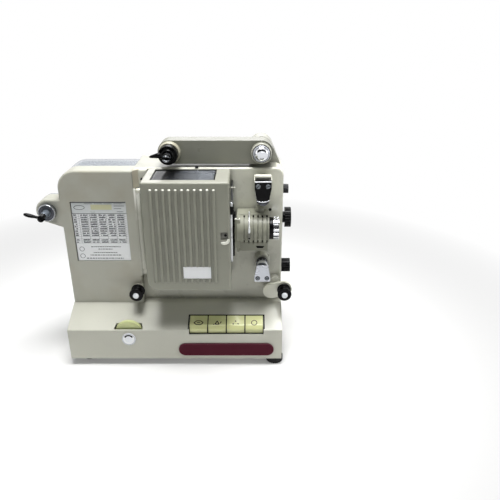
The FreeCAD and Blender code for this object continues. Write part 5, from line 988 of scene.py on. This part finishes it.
# Vent: a black frame of painted shadow round the opening, and fine louvres
shadow_frame = bmesh.new()
for low_x, high_x, low_y, high_y in ((-16.4, 51.1, 4.1, 5.7), (-16.4, 51.1, 42.5, 44.1),
                                     (-16.4, -14.9, 5.7, 42.5), (49.6, 51.1, 5.7, 42.5)):
    extrude(shadow_frame, "Z", rectangle(low_x, high_x, low_y, high_y), 217.6, 218.35, 0.1)
add_piece("vent_shadow_frame", shadow_frame, "black", "lamp_door")
louvres = bmesh.new()
for row in range(LOUVRES):
    y = LOUVRE_START + row * LOUVRE_PITCH
    extrude(louvres, "Z", rectangle(-14.0, 48.7, y, y + 0.5), 217.9, 218.12)
add_piece("vent_louvres", louvres, "vent", "lamp_door")

# Buffer under the supply arm
plate_piece("arm_buffer", "Z", rectangle(26.8, 30.4, 46.5, 50.0, 0.6), 219.4, 221.4, "matt_black",
            "chassis")

# Camera and lights
camera = new_object("camera", bpy.data.cameras.new("camera"))
camera.data.lens = 38.95
camera.data.sensor_width = 36.0
camera.location = place(87.5, -535.0, 382.0)
camera.rotation_euler = (math.radians(65.8), 0.0, 0.0)
bpy.context.scene.camera = camera

LIGHTS = (
    ("top_light", (0.08, -0.10, 1.25), (0.0, 0.0, 0.1), 0.62, 0.46, 19.5),
    ("left_light", (-1.5, -0.9, 0.6), (0.0, 0.0, 0.10), 0.7, 0.9, 2.6),
    ("right_light", (1.6, -0.35, 0.6), (0.05, 0.0, 0.15), 0.6, 0.7, 5.5),
    ("front_light", (0.5, -1.7, 0.45), (0.05, 0.0, 0.10), 0.9, 0.5, 0.8),
    ("rim_light", (1.5, 0.9, 0.7), (0.12, 0.0, 0.15), 0.5, 0.6, 6.0),
    ("back_light", (0.1, 1.4, 1.0), (0.0, 0.0, 0.15), 1.0, 0.8, 5.0),
)
for name, where, target, width, depth, power in LIGHTS:
    lamp = bpy.data.lights.new(name, "AREA")
    lamp.shape = "RECTANGLE"
    lamp.size, lamp.size_y, lamp.energy = width, depth, power
    item = new_object(name, lamp)
    item.location = where
    item.rotation_euler = (Vector(target) - Vector(where)).to_track_quat("-Z", "Y").to_euler()


# The pale floor, a dark wall that only reflections see, and the sky
def seen_directly(tree):
    """1 where the camera, a reflection or clear plastic looks at the background."""
    rays = tree.add("LightPath").outputs
    seen = tree.maths("MAXIMUM", rays["Is Camera Ray"], rays["Is Glossy Ray"])
    return tree.maths("MAXIMUM", seen, rays["Is Transmission Ray"])


def floor_material():
    tree = Tree(bpy.data.materials.new("pale_floor"))
    coords = tree.add("TexCoord").outputs["Object"]
    distance = tree.add("VectorMath", {"operation": "LENGTH"}, _0=coords).outputs["Value"]
    tone = tree.mix(tree.ramp(distance, 0.28, 0.60), (0.88, 0.88, 0.87, 1.0),
                    (0.22, 0.22, 0.22, 1.0))
    paper = tree.add("BsdfDiffuse", Color=tone)
    glow = tree.add("Emission", Color=WHITE, Strength=1.0)
    near = tree.add("MixShader", _0=0.15, _1=paper.outputs[0], _2=glow.outputs[0])
    share = tree.ramp(distance, 0.22, 0.60)
    spread = tree.add("MixShader", _0=share, _1=near.outputs[0], _2=glow.outputs[0])
    return tree.finish(tree.add("MixShader", _0=seen_directly(tree), _1=paper.outputs[0],
                                _2=spread.outputs[0]))


def backdrop(name, points, faces, material):
    """A mesh of the surroundings, in metres."""
    mesh = bpy.data.meshes.new(name)
    mesh.from_pydata(points, [], faces)
    mesh.materials.append(material)
    return new_object(name, mesh)


FLOOR = [(-4, -4, 0), (4, -4, 0), (4, 3, 0), (-4, 3, 0), (-4, 4, 1), (4, 4, 1), (-4, 4, 5),
         (4, 4, 5)]
floor = backdrop("floor", FLOOR, [(0, 1, 2, 3), (3, 2, 5, 4), (4, 5, 7, 6)], floor_material())

WALL = [(-3.5, -2.4, 0.5), (3.5, -2.4, 0.5), (3.5, -2.4, 3.2), (-3.5, -2.4, 3.2)]
wall = backdrop("dark_wall", WALL, [(0, 1, 2, 3)], MATERIALS["matt_black"])
wall.visible_camera = False
wall.visible_diffuse = False
wall.visible_shadow = False

world = bpy.data.worlds.new("studio")
bpy.context.scene.world = world
sky = Tree(world, "OutputWorld")
dim_sky = sky.add("Background", Color=(0.93, 0.96, 1.0, 1.0), Strength=0.08)
white_sky = sky.add("Background", Color=WHITE)
sky.finish(sky.add("MixShader", _0=seen_directly(sky), _1=dim_sky.outputs[0],
                   _2=white_sky.outputs[0]))
bpy.context.scene.view_settings.view_transform = "Standard"
